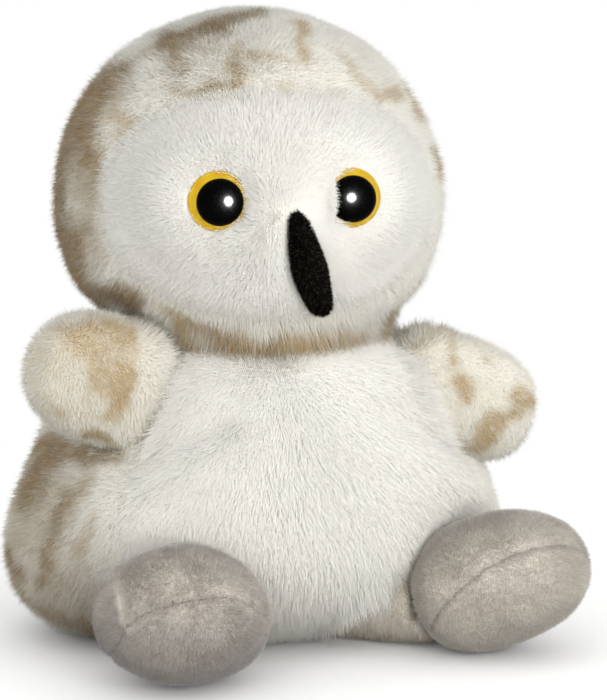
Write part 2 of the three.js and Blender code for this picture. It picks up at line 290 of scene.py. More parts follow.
def nap_effect() -> bpy.types.NodeTree:
    """Colour of one fibre: darker and greyer at its root, as painted shade deep in the pile, each fibre a
    little apart from the next.
    """

    def build(tree: Tree, entry: bpy.types.Node) -> dict:
        """Adds the group's nodes."""
        value = entry.outputs
        rooted = tree.ramp(value["Tip"], 0.0, value["Root Share"])
        shaded = tree.mix(rooted, value["Root Colour"], value["Colour"])
        spread = tree.math("MULTIPLY", tree.math("SUBTRACT", value["Strand"], 0.5), value["Spread"])
        bright = tree.scaled(shaded, tree.math("ADD", 1.0, spread))
        fleck = tree.ramp(value["Strand"], tree.math("SUBTRACT", 1.0, value["Fleck Share"]), 1.0)
        return {"Colour": tree.mix(fleck, bright, value["Fleck Colour"])}

    return effect("nap", {
        "Colour": ("Color", PURE_WHITE), "Root Colour": ("Color", PURE_WHITE), "Tip": ("Float", 1.0),
        "Root Share": ("Float", 0.75), "Strand": ("Float", 0.5), "Spread": ("Float", 0.1),
        "Fleck Colour": ("Color", PURE_WHITE), "Fleck Share": ("Float", 0.0)}, {"Colour": "Color"}, build)


def blotch_effect() -> bpy.types.NodeTree:
    """Soft dyed blotches and marks of painted shade, with uneven edges, on a pale ground, and a faint
    clouding of the ground.
    """

    def build(tree: Tree, entry: bpy.types.Node) -> dict:
        """Adds the group's nodes."""
        value = entry.outputs
        ragged = tree.noise(value["Place"], scale=value["Scale"], detail=3.0, roughness=0.6)
        torn = tree.math("SUBTRACT", ragged, 0.5)
        uneven = tree.math("MULTIPLY_ADD", torn, value["Raggedness"], value["Mask"])
        apart = tree.math("SUBTRACT", value["Strand"], 0.5)
        uneven = tree.math("MULTIPLY_ADD", apart, value["Strand Spread"], uneven)
        linear = tree.add("MapRange", {"Value": uneven, "From Min": 0.0, "From Max": 1.0}).outputs[0]
        mask = tree.math("MULTIPLY", linear, tree.ramp(value["Mask"], 0.0, value["Edge"]))
        cloud = tree.noise(value["Place"], scale=value["Cloud Scale"], detail=2.0)
        shade = tree.ramp(cloud, low=0.4, high=0.7, end=0.5)
        ground = tree.mix(shade, value["Ground"], value["Ground Shade"])
        dye = tree.mix(value["Warmth"], value["Cool Dye"], value["Warm Dye"])
        return {"Colour": tree.mix(tree.math("MULTIPLY", mask, value["Strength"]), ground, dye)}

    return effect("blotches", {
        "Place": ("Vector", None), "Mask": ("Float", 0.0), "Strand": ("Float", 0.5), "Warmth": ("Float", 0.5),
        "Scale": ("Float", 260.0), "Raggedness": ("Float", 0.9), "Strand Spread": ("Float", 0.5),
        "Edge": ("Float", 0.12), "Cloud Scale": ("Float", 90.0), "Strength": ("Float", 1.0),
        "Ground": ("Color", PURE_WHITE), "Ground Shade": ("Color", PURE_WHITE),
        "Cool Dye": ("Color", PURE_WHITE), "Warm Dye": ("Color", PURE_WHITE)}, {"Colour": "Color"}, build)


def knit_effect() -> bpy.types.NodeTree:
    """Height and shade of the knitted backing that the pile stands on."""

    def build(tree: Tree, entry: bpy.types.Node) -> dict:
        """Adds the group's nodes."""
        value = entry.outputs
        wave = tree.add("TexWave", {"Vector": value["Place"], "Scale": value["Scale"], "Distortion": 2.0,
                                    "Detail": 2.0, "Detail Scale": 3.0})
        grain = tree.noise(value["Place"], scale=tree.math("MULTIPLY", value["Scale"], 2.0))
        stitches = tree.math("MULTIPLY", wave.outputs[1], value["Stitch Share"])
        rough = tree.math("MULTIPLY", grain, tree.math("SUBTRACT", 1.0, value["Stitch Share"]))
        height = tree.math("ADD", stitches, rough)
        return {"Height": height, "Shade": tree.ramp(height, low=0.2, high=0.8, start=0.86)}

    return effect("knit", {
        "Place": ("Vector", None), "Scale": ("Float", 900.0), "Stitch Share": ("Float", 0.6)},
        {"Height": "Float", "Shade": "Float"}, build)


def speckle_effect() -> bpy.types.NodeTree:
    """Fine light and dark speckle over broad, cloudy nap marks, as short velour shows."""

    def build(tree: Tree, entry: bpy.types.Node) -> dict:
        """Adds the group's nodes."""
        value = entry.outputs
        fine = tree.noise(value["Place"], scale=value["Fine Scale"], detail=2.0, roughness=0.7)
        broad = tree.noise(value["Place"], scale=value["Broad Scale"], detail=3.0, roughness=0.55)
        speck = tree.math("MULTIPLY", tree.ramp(fine, low=0.35, high=0.68), 0.5)
        mark = tree.math("MULTIPLY", tree.ramp(broad, low=0.38, high=0.62), 0.5)
        return {"Colour": tree.mix(tree.math("ADD", speck, mark), value["Dark"], value["Light"])}

    return effect("speckle", {
        "Place": ("Vector", None), "Fine Scale": ("Float", 1500.0), "Broad Scale": ("Float", 120.0),
        "Dark": ("Color", PURE_WHITE), "Light": ("Color", PURE_WHITE)}, {"Colour": "Color"}, build)


def fresh_material(name: str) -> tuple[bpy.types.Material, Tree]:
    """A new material and its emptied tree."""
    material = bpy.data.materials.new(name)
    material.use_nodes = True
    return material, Tree(material.node_tree)


def close_material(tree: Tree, **inputs: Value) -> None:
    """Ends a tree in a Principled shader.

    Args:
        tree: The material's tree.
        inputs: Values or sockets for the shader, with underscores for spaces.
    """
    shader = tree.add("BsdfPrincipled", {name.replace("_", " "): value for name, value in inputs.items()})
    tree.add("OutputMaterial", {"Surface": shader.outputs[0]})


@dataclass(frozen=True, kw_only=True)
class FabricFinish:
    """A knitted fabric with a pile on it. Each kind of fabric says how its colour lies."""

    name: str
    # The colour at each fibre's root, darker than its tip: painted shade deep in the pile.
    root: Colour
    spread: float = 0.12
    roughness: float = 0.8
    specular: float = 0.15
    sheen: float = 0.1
    sheen_roughness: float = 0.45
    fleck: Colour = PURE_WHITE
    fleck_share: float = 0.0
    backing_roughness: float = 0.95
    backing_specular: float = 0.1
    knit_depth: float = 0.15 * MM
    knit_strength: float = 0.6

    def colour(self, tree: Tree) -> Socket:
        """The colour at a fibre's root."""
        raise NotImplementedError

    @cache
    def pile(self) -> bpy.types.Material:
        """The material of the fibres."""
        material, tree = fresh_material(self.name + "_pile")
        nap = tree.add("Group", {
            "Colour": self.colour(tree), "Root Colour": self.root, "Tip": tree.attribute("tip"),
            "Strand": tree.attribute("strand"), "Spread": self.spread, "Fleck Colour": self.fleck,
            "Fleck Share": self.fleck_share}, node_tree=nap_effect())
        close_material(tree, Base_Color=nap.outputs[0], Roughness=self.roughness,
                       Specular_IOR_Level=self.specular, Sheen_Weight=self.sheen,
                       Sheen_Roughness=self.sheen_roughness)
        return material

    @cache
    def backing(self) -> bpy.types.Material:
        """The material of the knitted backing."""
        material, tree = fresh_material(self.name + "_backing")
        knit = tree.add("Group", {"Place": tree.attribute("root", "Vector")}, node_tree=knit_effect())
        shaded = tree.scaled(self.colour(tree), knit.outputs["Shade"])
        bump = tree.add("Bump", {"Height": knit.outputs["Height"], "Distance": self.knit_depth,
                                 "Strength": self.knit_strength})
        close_material(tree, Base_Color=shaded, Roughness=self.backing_roughness,
                       Specular_IOR_Level=self.backing_specular, Normal=bump.outputs[0])
        return material


@dataclass(frozen=True, kw_only=True)
class PlushFinish(FabricFinish):
    """Long or middling pile, white or cream, with or without dyed blotches."""

    ground: Colour
    ground_shade: Colour
    cool_dye: Colour = srgb(142, 119, 83)
    warm_dye: Colour = srgb(204, 172, 113)

    def colour(self, tree: Tree) -> Socket:
        """The dyed colour at a fibre's root, with painted shade where marks lie in shadow."""
        return tree.add("Group", {
            "Place": tree.attribute("root", "Vector"), "Mask": tree.attribute("blotch"),
            "Strand": tree.attribute("strand"), "Warmth": tree.attribute("warmth"), "Ground": self.ground,
            "Ground Shade": self.ground_shade, "Cool Dye": self.cool_dye, "Warm Dye": self.warm_dye,
        }, node_tree=blotch_effect()).outputs["Colour"]


@dataclass(frozen=True, kw_only=True)
class VelourFinish(FabricFinish):
    """Very short pile with specks and nap marks."""

    dark: Colour
    light: Colour
    # The seam's colour, also laid as painted shade on the right foot's lower part.
    seam: Colour = srgb(124, 119, 122)
    fine_scale: float = 1500.0
    broad_scale: float = 120.0
    spread: float = 0.35
    roughness: float = 0.85
    specular: float = 0.2
    sheen: float = 0.3
    sheen_roughness: float = 0.4
    fleck: Colour = srgb(216, 208, 198)
    fleck_share: float = 0.04
    knit_depth: float = 0.1 * MM
    knit_strength: float = 0.5

    def colour(self, tree: Tree) -> Socket:
        """The speckled colour at a fibre's root, lightened by warmth as painted light, and mixed with the
        seam's colour at seams and as painted shade.
        """
        speckle = tree.add("Group", {
            "Place": tree.attribute("root", "Vector"), "Fine Scale": self.fine_scale,
            "Broad Scale": self.broad_scale, "Dark": self.dark, "Light": self.light,
        }, node_tree=speckle_effect())
        lit = tree.mix(tree.attribute("warmth"), speckle.outputs[0], self.light)
        return tree.mix(tree.attribute("blotch"), lit, self.seam)


@dataclass(frozen=True)
class GlossFinish:
    """Moulded plastic of the eyes, with a faint orange peel and a few hairline marks."""

    name: str
    colour: Colour
    deep: Colour
    roughness: float
    specular: float
    coat: float = 0.0
    coat_roughness: float = 0.04
    peel_scale: float = 400.0
    peel_depth: float = 0.02 * MM
    peel_strength: float = 0.15
    mark_scale: float = 2500.0
    mark_rise: float = 1.5

    @cache
    def material(self) -> bpy.types.Material:
        """The plastic's material."""
        material, tree = fresh_material(self.name)
        place = tree.add("TexCoord").outputs["Object"]
        peel = tree.noise(place, scale=self.peel_scale, detail=2.0)
        colour = tree.mix(tree.ramp(peel, low=0.3, high=0.7), self.colour, self.deep)
        marks = tree.noise(place, scale=self.mark_scale, detail=3.0)
        rough = tree.ramp(marks, 0.4, 0.75, self.roughness, self.roughness * self.mark_rise)
        bump = tree.add("Bump", {"Height": peel, "Distance": self.peel_depth, "Strength": self.peel_strength})
        close_material(tree, Base_Color=colour, Roughness=rough, Specular_IOR_Level=self.specular,
                       Coat_Weight=self.coat, Coat_Roughness=self.coat_roughness, Normal=bump.outputs[0])
        return material


@dataclass(frozen=True)
class StrandFinish:
    """Thread, filling or cloth: a twisted or tangled surface in one pale colour."""

    name: str
    colour: Colour
    deep: Colour
    scale: float
    height: float
    bump_strength: float = 0.8
    roughness: float = 0.9

    @cache
    def material(self) -> bpy.types.Material:
        """The material, with its bump."""
        material, tree = fresh_material(self.name)
        place = tree.add("TexCoord").outputs["Object"]
        strands = tree.noise(place, scale=self.scale, detail=4.0, distortion=1.5)
        colour = tree.mix(tree.ramp(strands, low=0.35, high=0.65), self.deep, self.colour)
        bump = tree.add("Bump", {"Height": strands, "Distance": self.height, "Strength": self.bump_strength})
        close_material(tree, Base_Color=colour, Roughness=self.roughness, Normal=bump.outputs[0])
        return material


# Each finish's root colour is painted shade at the fibres' roots.
FACE_PLUSH = PlushFinish(
    name="face_plush", ground=srgb(250, 248, 241), ground_shade=srgb(245, 243, 235),
    root=srgb(249, 247, 240), spread=0.04)
BELLY_PLUSH = PlushFinish(
    name="belly_plush", ground=srgb(254, 252, 243), ground_shade=srgb(250, 248, 241),
    root=srgb(251, 249, 241), spread=0.04)
SPOTTED_PLUSH = PlushFinish(
    name="spotted_plush", ground=srgb(252, 250, 240), ground_shade=srgb(244, 240, 227),
    root=srgb(246, 242, 230), spread=0.08)
WING_PLUSH = PlushFinish(
    name="wing_plush", ground=srgb(250, 247, 234), ground_shade=srgb(244, 238, 221),
    root=srgb(243, 237, 222), spread=0.06)
BASE_PLUSH = PlushFinish(
    name="base_plush", ground=srgb(238, 232, 220), ground_shade=srgb(226, 219, 205), root=srgb(206, 198, 184))
GREY_VELOUR = VelourFinish(
    name="grey_velour", dark=srgb(155, 147, 137), light=srgb(213, 206, 194), root=srgb(174, 167, 156))
BLACK_VELOUR = VelourFinish(
    name="black_velour", dark=srgb(7, 6, 5), light=srgb(18, 16, 13), root=srgb(3, 3, 2), seam=srgb(7, 6, 5),
    fine_scale=1300.0, spread=1.3, sheen=0.0, specular=0.02, backing_specular=0.01, fleck=srgb(66, 58, 48),
    fleck_share=0.25)
YELLOW_PLASTIC = GlossFinish("yellow_plastic", srgb(192, 158, 14), srgb(178, 140, 9), 0.3, 0.2)
BLACK_PLASTIC = GlossFinish(
    "black_plastic", srgb(2, 2, 2), srgb(1, 1, 1), 0.28, 0.004, coat=0.02, coat_roughness=0.13)
WASHER_PLASTIC = GlossFinish("washer_plastic", srgb(224, 224, 220), srgb(208, 208, 203), 0.5, 0.4)
FILLING = StrandFinish("filling", srgb(244, 243, 240), srgb(214, 212, 206), 420.0, 0.8 * MM)
BEAN_CLOTH = StrandFinish("bean_cloth", srgb(226, 220, 206), srgb(198, 190, 174), 900.0, 0.3 * MM)
CREAM_THREAD = StrandFinish("cream_thread", srgb(236, 230, 216), srgb(204, 196, 178), 2200.0, 0.1 * MM)


@dataclass
class Skin:
    """A closed surface of quads and triangles, with named fields at its points."""

    points: Points
    quads: np.ndarray
    triangles: np.ndarray
    fields: dict[str, np.ndarray]

    @staticmethod
    def from_rings(rings: Points) -> "Skin":
        """Closes a stack of rings with a point at each end.

        Args:
            rings: Points by ring, place round the ring, and axis. Going up the rings, they turn to the left.

        Returns:
            The skin, with its faces pointing out.
        """
        count, around = rings.shape[:2]
        points = np.vstack([rings.reshape(-1, 3), rings[0].mean(0), rings[-1].mean(0)])
        ring, step = np.meshgrid(np.arange(count - 1), np.arange(around), indexing="ij")
        a, b = ring * around + step, ring * around + (step + 1) % around
        quads = np.stack([a, b, b + around, a + around], -1).reshape(-1, 4)
        step = np.arange(around)
        after, first, last = (step + 1) % around, count * around, count * around + 1
        top = (count - 1) * around
        below = np.stack([np.full(around, first), after, step], -1)
        above = np.stack([np.full(around, last), top + step, top + after], -1)
        return Skin(points, quads, np.vstack([below, above]), {})

    def all_triangles(self) -> np.ndarray:
        """Every face as triangles."""
        return np.vstack([self.quads[:, [0, 1, 2]], self.quads[:, [0, 2, 3]], self.triangles])

    def triangle_normals(self, corners: np.ndarray) -> Points:
        """Normals of triangles, each as long as twice its area."""
        first, second, third = (self.points[corners[:, corner]] for corner in range(3))
        return np.cross(second - first, third - first)

    def normals(self) -> Points:
        """Outward direction at each point."""
        corners = self.all_triangles()
        face = self.triangle_normals(corners)
        total = np.zeros_like(self.points)
        for corner in range(3):
            np.add.at(total, corners[:, corner], face)
        return unit(total)

    def edges(self) -> np.ndarray:
        """Pairs of joined points, each way round."""
        pairs = [faces[:, [corner, (corner + 1) % faces.shape[1]]]
                 for faces in (self.quads, self.triangles) for corner in range(faces.shape[1])]
        return np.vstack(pairs + [pair[:, ::-1] for pair in pairs])

    def swell(self, height: Field) -> None:
        """Moves each point out along its normal by its own height, or in where that is below zero."""
        self.points += height[:, None] * self.normals()

    def smooth(self, where: Field, times: int, share: float = 0.5) -> None:
        """Draws points towards the middle of their neighbours.

        Args:
            where: How much each point moves, from 0 to 1.
            times: How often.
            share: How far each time.
        """
        edges = self.edges()
        count = np.bincount(edges[:, 0], minlength=len(self.points))[:, None]
        for _ in range(times):
            total = np.zeros_like(self.points)
            np.add.at(total, edges[:, 0], self.points[edges[:, 1]])
            self.points += share * where[:, None] * (total / count - self.points)

    def snap(self, distance: Callable[[Points], Field], reach: float, where: Marks | bool = True) -> None:
        """Moves points that lie near a line on the skin onto it, so that a panel's edge is smooth.

        Args:
            distance: Signed distance of points from the line.
            reach: How near a point has to be.
            where: Which points may move.
        """
        step, least_slope = 0.05 * MM, 0.2
        here = distance(self.points)
        slope = np.stack([
            (distance(self.points + step * axis) - here) / step for axis in np.eye(3)], -1)
        normal = self.normals()
        slope -= (slope * normal).sum(-1, keepdims=True) * normal
        near = (np.abs(here) < reach) & (np.linalg.norm(slope, axis=-1) > least_slope) & where
        size = np.maximum((slope ** 2).sum(-1), least_slope ** 2)
        self.points[near] -= (here / size)[near, None] * slope[near]

    def pinch(self, distance: Field, depth: float, width: float) -> None:
        """Draws the skin in along a seam.

        Args:
            distance: Each point's distance from the seam.
            depth: How far the seam is drawn in.
            width: How wide the dip is to each side.
        """
        self.swell(-depth * np.exp(-(distance / width) ** 2))

    def lump(self, height: float, size: float, seed: float) -> None:
        """Makes the skin uneven over its filling.

        Args:
            height: Most that a point moves.
            size: Width of the lumps.
            seed: Which lumps.
        """
        self.swell(height * noise_at(self.points, size, seed))

    def clear_of(self, piece: "NeckBall | LimbPair", outward: float, step: float = 0.2 * MM,
                 most: int = 110) -> Field:
        """Pushes points inward until they are outside another piece, which leaves a dish for it.

        Args:
            piece: The other piece, which tells what lies in it and the way out of it.
            outward: Clearance round the piece.
            step: How far a point moves at a time.
            most: The most steps.

        Returns:
            How far each point was moved.
        """
        heading = unit(piece.away(self.points) - self.normals())
        gone = np.zeros(len(self.points))
        for _ in range(most):
            caught = piece.inside(self.points, outward)
            if not caught.any():
                break
            self.points[caught] += step * heading[caught]
            gone[caught] += step
        return gone

    def rest_on(self, height: float) -> None:
        """Lifts points that lie below a height to it."""
        self.points[:, 2] = np.maximum(self.points[:, 2], height)

    def tree(self) -> BVHTree:
        """A search tree of the skin's faces."""
        return BVHTree.FromPolygons([Vector(p) for p in self.points], self.all_triangles().tolist())

    def closed_mesh(self, name: str) -> bpy.types.Mesh:
        """A mesh of the whole skin."""
        return mesh_from(name, self.points, self.quads.tolist() + self.triangles.tolist(), {})

    def plain_pile(self, flow: list[float], **fields: float | Field) -> None:
        """Sets the pile's fields: full and undyed, but for those that are given, with one nap."""
        count = len(self.points)
        self.fields["flow"] = np.tile(flow, (count, 1))
        for label, usual in (("length", 1.0), ("density", 1.0), ("blotch", 0.0), ("warmth", 0.0)):
            self.fields[label] = np.full(count, fields.get(label, usual), float)


def mesh_from(name: str, points: Points, faces: list, fields: dict[str, np.ndarray]) -> bpy.types.Mesh:
    """Makes a mesh with named fields at its points.

    Args:
        name: The mesh's name.
        points: Its points.
        faces: Its faces as lists of point numbers.
        fields: Values for each point, one number or three.

    Returns:
        The mesh, smooth shaded.
    """
    mesh = bpy.data.meshes.new(name)
    mesh.from_pydata(points.tolist(), [], faces)
    for label, values in fields.items():
        add_field(mesh, label, values)
    mesh.polygons.foreach_set("use_smooth", np.ones(len(mesh.polygons), bool))
    mesh.update()
    return mesh


def add_field(mesh: bpy.types.Mesh, label: str, values: np.ndarray) -> None:
    """Stores one or three numbers at each point of a mesh."""
    kind, key = ("FLOAT_VECTOR", "vector") if values.ndim > 1 else ("FLOAT", "value")
    attribute = mesh.attributes.new(label, kind, "POINT")
    attribute.data.foreach_set(key, values.astype(np.float32).ravel())


def show(mesh: bpy.types.Mesh, material: bpy.types.Material, body: str,
         nodes: tuple[str, ...] = ()) -> bpy.types.Object:
    """Puts a mesh in the scene as a piece of the owl.

    Args:
        mesh: The piece's mesh, whose name it takes.
        material: Its material.
        body: The body that it moves with.
        nodes: The nodes of the frame that it stands for.

    Returns:
        The piece.
    """
    piece = bpy.data.objects.new(mesh.name, mesh)
    mesh.materials.append(material)
    bpy.context.scene.collection.objects.link(piece)
    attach(piece, body)
    if nodes:
        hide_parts(*nodes)
    LOG.info("%s: %d faces on %s", piece.name, len(mesh.polygons), body)
    return piece


@dataclass(frozen=True)
class Panel:
    """One cut piece of fabric of a sack, with its pile."""

    name: str
    node: str
    slot: str
    finish: FabricFinish
    pile: "Pile"
    seed: int
    thickness: float = 1.0 * MM
    fill: float = 0.9

    def sew(self, skin: Skin, quads: Marks, triangles: Marks, body: str) -> None:
        """Makes the fabric of the panel.

        Args:
            skin: The sack's skin.
            quads: Which of its quads are this panel's.
            triangles: Which of its triangles are this panel's.
            body: The body that the sack moves with.
        """
        kept = [skin.quads[quads], skin.triangles[triangles]]
        used = np.unique(np.concatenate([faces.ravel() for faces in kept]))
        number = np.full(len(skin.points), -1)
        number[used] = np.arange(len(used))
        points = skin.points[used]
        fields = {label: skin.fields[label][used] for label in ("blotch", "warmth")}
        fields.update(root=points, strand=np.full(len(points), 0.5))
        sewn = [face for faces in kept for face in number[faces].tolist()]
        mesh = mesh_from(self.name, points, sewn, fields)
        piece = show(mesh, self.finish.backing(), body, (self.node,))
        thick = piece.modifiers.new("fabric", "SOLIDIFY")
        thick.thickness = self.thickness
        thick.offset = -1

    def cover(self, skin: Skin, quads: Marks, triangles: Marks, body: str) -> None:
        """Grows the pile of the panel, which takes the panel's name. The arguments are those of sew."""
        name = self.name.rsplit("_", 1)[0] + "_pile"
        marks = np.concatenate([quads, quads, triangles])
        for mesh in self.pile.grow(name, skin, marks, self.seed):
            show(mesh, self.finish.pile(), body)

    def dress(self, skin: Skin, quads: Marks, triangles: Marks, body: str) -> None:
        """Sews the panel and grows its pile. The arguments are those of sew."""
        self.sew(skin, quads, triangles, body)
        self.cover(skin, quads, triangles, body)


def hash_share(cells: np.ndarray, salt: int) -> np.ndarray:
    """Repeatable numbers from 0 to 1 for whole-number cells.

    Args:
        cells: Rows of three whole numbers.
        salt: Which of the cell's numbers.

    Returns:
        One number for each row.
    """
    x, y, z = (cells[..., axis].astype(np.int64) for axis in range(3))
    mixed = (x * 73856093) ^ (y * 19349663) ^ (z * 83492791) ^ (salt * 2654435761)
    mixed = (mixed ^ (mixed >> 13)) * 1274126177 & 0xFFFFFFFF
    mixed ^= mixed >> 16
    return (mixed & 0xFFFFFF) / float(0x1000000)


@dataclass(frozen=True)
class Pile:
    """How a panel's fibres stand.

    Fibres are thin three-sided spikes. They lean from the skin's normal along the nap, less where the flow
    field is shorter than one, and gather in tufts. Angles are in degrees, and the turn of a tuft in radians.
    """

    length: float
    lean: float
    density: float
    width: float
    lean_spread: float = 9.0
    side_spread: float = 0.22
    length_spread: float = 0.16
    tuft: float = 3.2 * MM
    tuft_pull: float = 0.35
    tuft_turn: float = 0.3
    tuft_rise: float = 1.2
    softness: float = 0.72
    tip_shine: float = 0.35
    least_lean: float = 3.0
    most_lean: float = 84.0
    least_length: float = 0.2
    sink: float = 0.15 * MM
    floor: float = 0.15 * MM
    floor_spread: float = 0.25 * MM
    quick_share: float = 0.35
    quick_width: float = 1.6

    def tufts(self, roots: Points) -> tuple[Points, np.ndarray]:
        """The middle of the tuft that each fibre belongs to, and the cell that names it."""
        cell = np.floor(roots / self.tuft).astype(np.int64)
        best = np.full(len(roots), np.inf)
        middle = np.zeros_like(roots)
        chosen = np.zeros_like(cell)
        for shift in np.ndindex(3, 3, 3):
            other = cell + np.array(shift) - 1
            centre = (other + np.stack([hash_share(other, salt) for salt in (1, 2, 3)], -1)) * self.tuft
            apart = ((centre - roots) ** 2).sum(-1)
            nearer = apart < best
            best[nearer] = apart[nearer]
            middle[nearer] = centre[nearer]
            chosen[nearer] = other[nearer]
        return middle, chosen

    def grow(self, name: str, skin: Skin, keep: Marks, seed: int) -> list[bpy.types.Mesh]:
        """Grows the pile on part of a skin.

        Args:
            name: The pile's name.
            skin: The skin, with fields flow, density, length, blotch and warmth.
            keep: Which of its triangles carry the pile.
            seed: Which random numbers.

        Returns:
            Meshes of the fibres, each small enough for the export.
        """
        rng = np.random.default_rng(seed)
        corners = skin.all_triangles()[keep]
        area = np.linalg.norm(skin.triangle_normals(corners), axis=-1) / 2
        weight = area * skin.fields["density"][corners].mean(-1)
        count = int(weight.sum() * self.density * (1.0))
        ends = np.cumsum(weight)
        spots = (np.arange(count) + rng.random(count)) / count * ends[-1]
        face = corners[np.minimum(np.searchsorted(ends, spots), len(corners) - 1)]
        u, v = rng.random(count), rng.random(count)
        over = u + v > 1
        u[over], v[over] = 1 - u[over], 1 - v[over]
        shares = np.stack([1 - u - v, u, v], -1)[..., None]

        def at(values: np.ndarray) -> np.ndarray:
            """A field's value at each root."""
            return (values[face] * (shares if values.ndim > 1 else shares[..., 0])).sum(1)

        roots, normal, fullness = at(skin.points), unit(at(skin.normals())), at(skin.fields["length"])
        middle, cell = self.tufts(roots)
        direction = self.directions(at(skin.fields["flow"]), normal, cell, rng)
        length = self.length * fullness * (1 + rng.normal(0, self.length_spread, count))
        tips = roots + direction * np.maximum(length, self.least_length * self.length)[:, None]
        drawn = middle - roots
        drawn -= (drawn * normal).sum(-1, keepdims=True) * normal
        tips += self.tuft_pull * drawn * np.minimum(1, fullness)[:, None]
        tips[:, 2] = np.maximum(tips[:, 2], self.floor + self.floor_spread * rng.random(count))
        fields = {"root": roots, "strand": rng.random(count), "blotch": at(skin.fields["blotch"]),
                  "warmth": at(skin.fields["warmth"])}
        parts = max(1, math.ceil(count / MOST_FIBRES))
        order = np.argsort(np.arctan2(roots[:, 0] - roots[:, 0].mean(), roots[:, 1] - roots[:, 1].mean()))
        return [self.spikes(
            f"{name}_{part}" if parts > 1 else name, roots[chosen] - self.sink * normal[chosen], tips[chosen],
            normal[chosen], {key: values[chosen] for key, values in fields.items()})
            for part, chosen in enumerate(np.array_split(order, parts), 1)]

    def directions(self, flow: Points, normal: Points, cell: np.ndarray, rng: np.random.Generator) -> Points:
        """Which way each fibre points.

        Args:
            flow: The nap at each root.
            normal: The skin's normal at each root.
            cell: The cell of each root's tuft.
            rng: Where the random numbers come from.

        Returns:
            Directions of length one.
        """
        count = len(flow)
        flow -= (flow * normal).sum(-1, keepdims=True) * normal
        bend = np.minimum(np.linalg.norm(flow, axis=-1), 1)
        flow = unit(flow)
        beside = np.cross(normal, flow)
        turn = (hash_share(cell, 4) - 0.5) * 2 * self.tuft_turn + rng.normal(0, self.side_spread, count)
        rise = (hash_share(cell, 5) - 0.5) * self.tuft_rise * self.lean_spread
        rise += rng.normal(0, self.lean_spread, count)
        lean = np.radians(np.clip(self.lean * bend + rise, self.least_lean, self.most_lean))[:, None]
        sideways = flow * np.cos(turn)[:, None] + beside * np.sin(turn)[:, None]
        return np.cos(lean) * normal + np.sin(lean) * sideways

    def spikes(self, name: str, roots: Points, tips: Points, normal: Points,
               fields: dict[str, np.ndarray]) -> bpy.types.Mesh:
        """Builds one mesh of three-sided spikes.

        Args:
            name: The mesh's name.
            roots: Where the fibres start.
            tips: Where they end.
            normal: The skin's normal at each root.
            fields: Values for each fibre.

        Returns:
            The mesh. Its normals lean to the skin's, so that the pile shades softly.
        """
        count = len(roots)
        width = self.width * 1.0
        axis = unit(tips - roots)
        across = unit(np.cross(axis, normal) + 1e-9)
        upward = np.cross(axis, across)
        points = np.empty((count, 4, 3))
        shading = np.empty((count, 4, 3))
        for corner in range(3):
            angle = 2 * math.pi * corner / 3 + math.pi / 6
            out = across * math.cos(angle) + upward * math.sin(angle)
            points[:, corner] = roots + out * width / 2
            shading[:, corner] = unit(self.softness * normal + (1 - self.softness) * out)
        points[:, 3] = tips
        shading[:, 3] = unit(normal + self.tip_shine * axis)
        points[:, :, 2] = np.maximum(points[:, :, 2], self.floor)
        base = 4 * np.arange(count)[:, None, None]
        faces = (base + np.array([[0, 1, 3], [1, 2, 3], [2, 0, 3]])[None]).reshape(-1)
        mesh = bpy.data.meshes.new(name)
        mesh.vertices.add(4 * count)
        mesh.vertices.foreach_set("co", points.astype(np.float32).ravel())
        mesh.loops.add(9 * count)
        mesh.loops.foreach_set("vertex_index", faces.astype(np.int32))
        mesh.polygons.add(3 * count)
        mesh.polygons.foreach_set("loop_start", (3 * np.arange(3 * count)).astype(np.int32))
        mesh.polygons.foreach_set("use_smooth", np.ones(3 * count, bool))
        mesh.update(calc_edges=True)
        mesh.normals_split_custom_set_from_vertices(shading.reshape(-1, 3))
        add_field(mesh, "tip", np.tile([0.0, 0.0, 0.0, 1.0], count))
        for label, values in fields.items():
            add_field(mesh, label, np.repeat(values, 4, axis=0))
        self.unwrap(mesh, count, faces)
        return mesh

    @staticmethod
    def unwrap(mesh: bpy.types.Mesh, count: int, faces: np.ndarray) -> None:
        """Gives each fibre a small cell of its own in the texture.

        Args:
            mesh: The pile's mesh.
            count: How many fibres it has.
            faces: The point of each corner of its faces.
        """
        across = math.ceil(math.sqrt(count))
        cell = np.stack([np.arange(count) % across, np.arange(count) // across], -1)[:, None, :]
        corner_shares = np.array([[0.08, 0.08], [0.92, 0.08], [0.5, 0.12], [0.5, 0.92]])[None]
        places = ((cell + corner_shares) / across).reshape(-1, 2)
        layer = mesh.uv_layers.new(name="OFBake")
        layer.data.foreach_set("uv", places[faces].astype(np.float32).ravel())


def path_gap(points: Points, path: list[np.ndarray]) -> tuple[Field, Points]:
    """Distance of points from a path, and the way to them from it.

    Args:
        points: Places, one a row.
        path: The path's corners, one or more.

    Returns:
        The distances, and the offsets from the nearest places of the path.
    """
    best, offset = np.full(len(points), np.inf), np.zeros_like(points)
    for first, last in zip(path, path[1:] or path):
        line = last - first
        share = np.clip(((points - first) @ line) / max(line @ line, 1e-12), 0, 1)
        away = points - first - share[:, None] * line
        apart = np.linalg.norm(away, axis=-1)
        nearer = apart < best
        best[nearer], offset[nearer] = apart[nearer], away[nearer]
    return best, offset


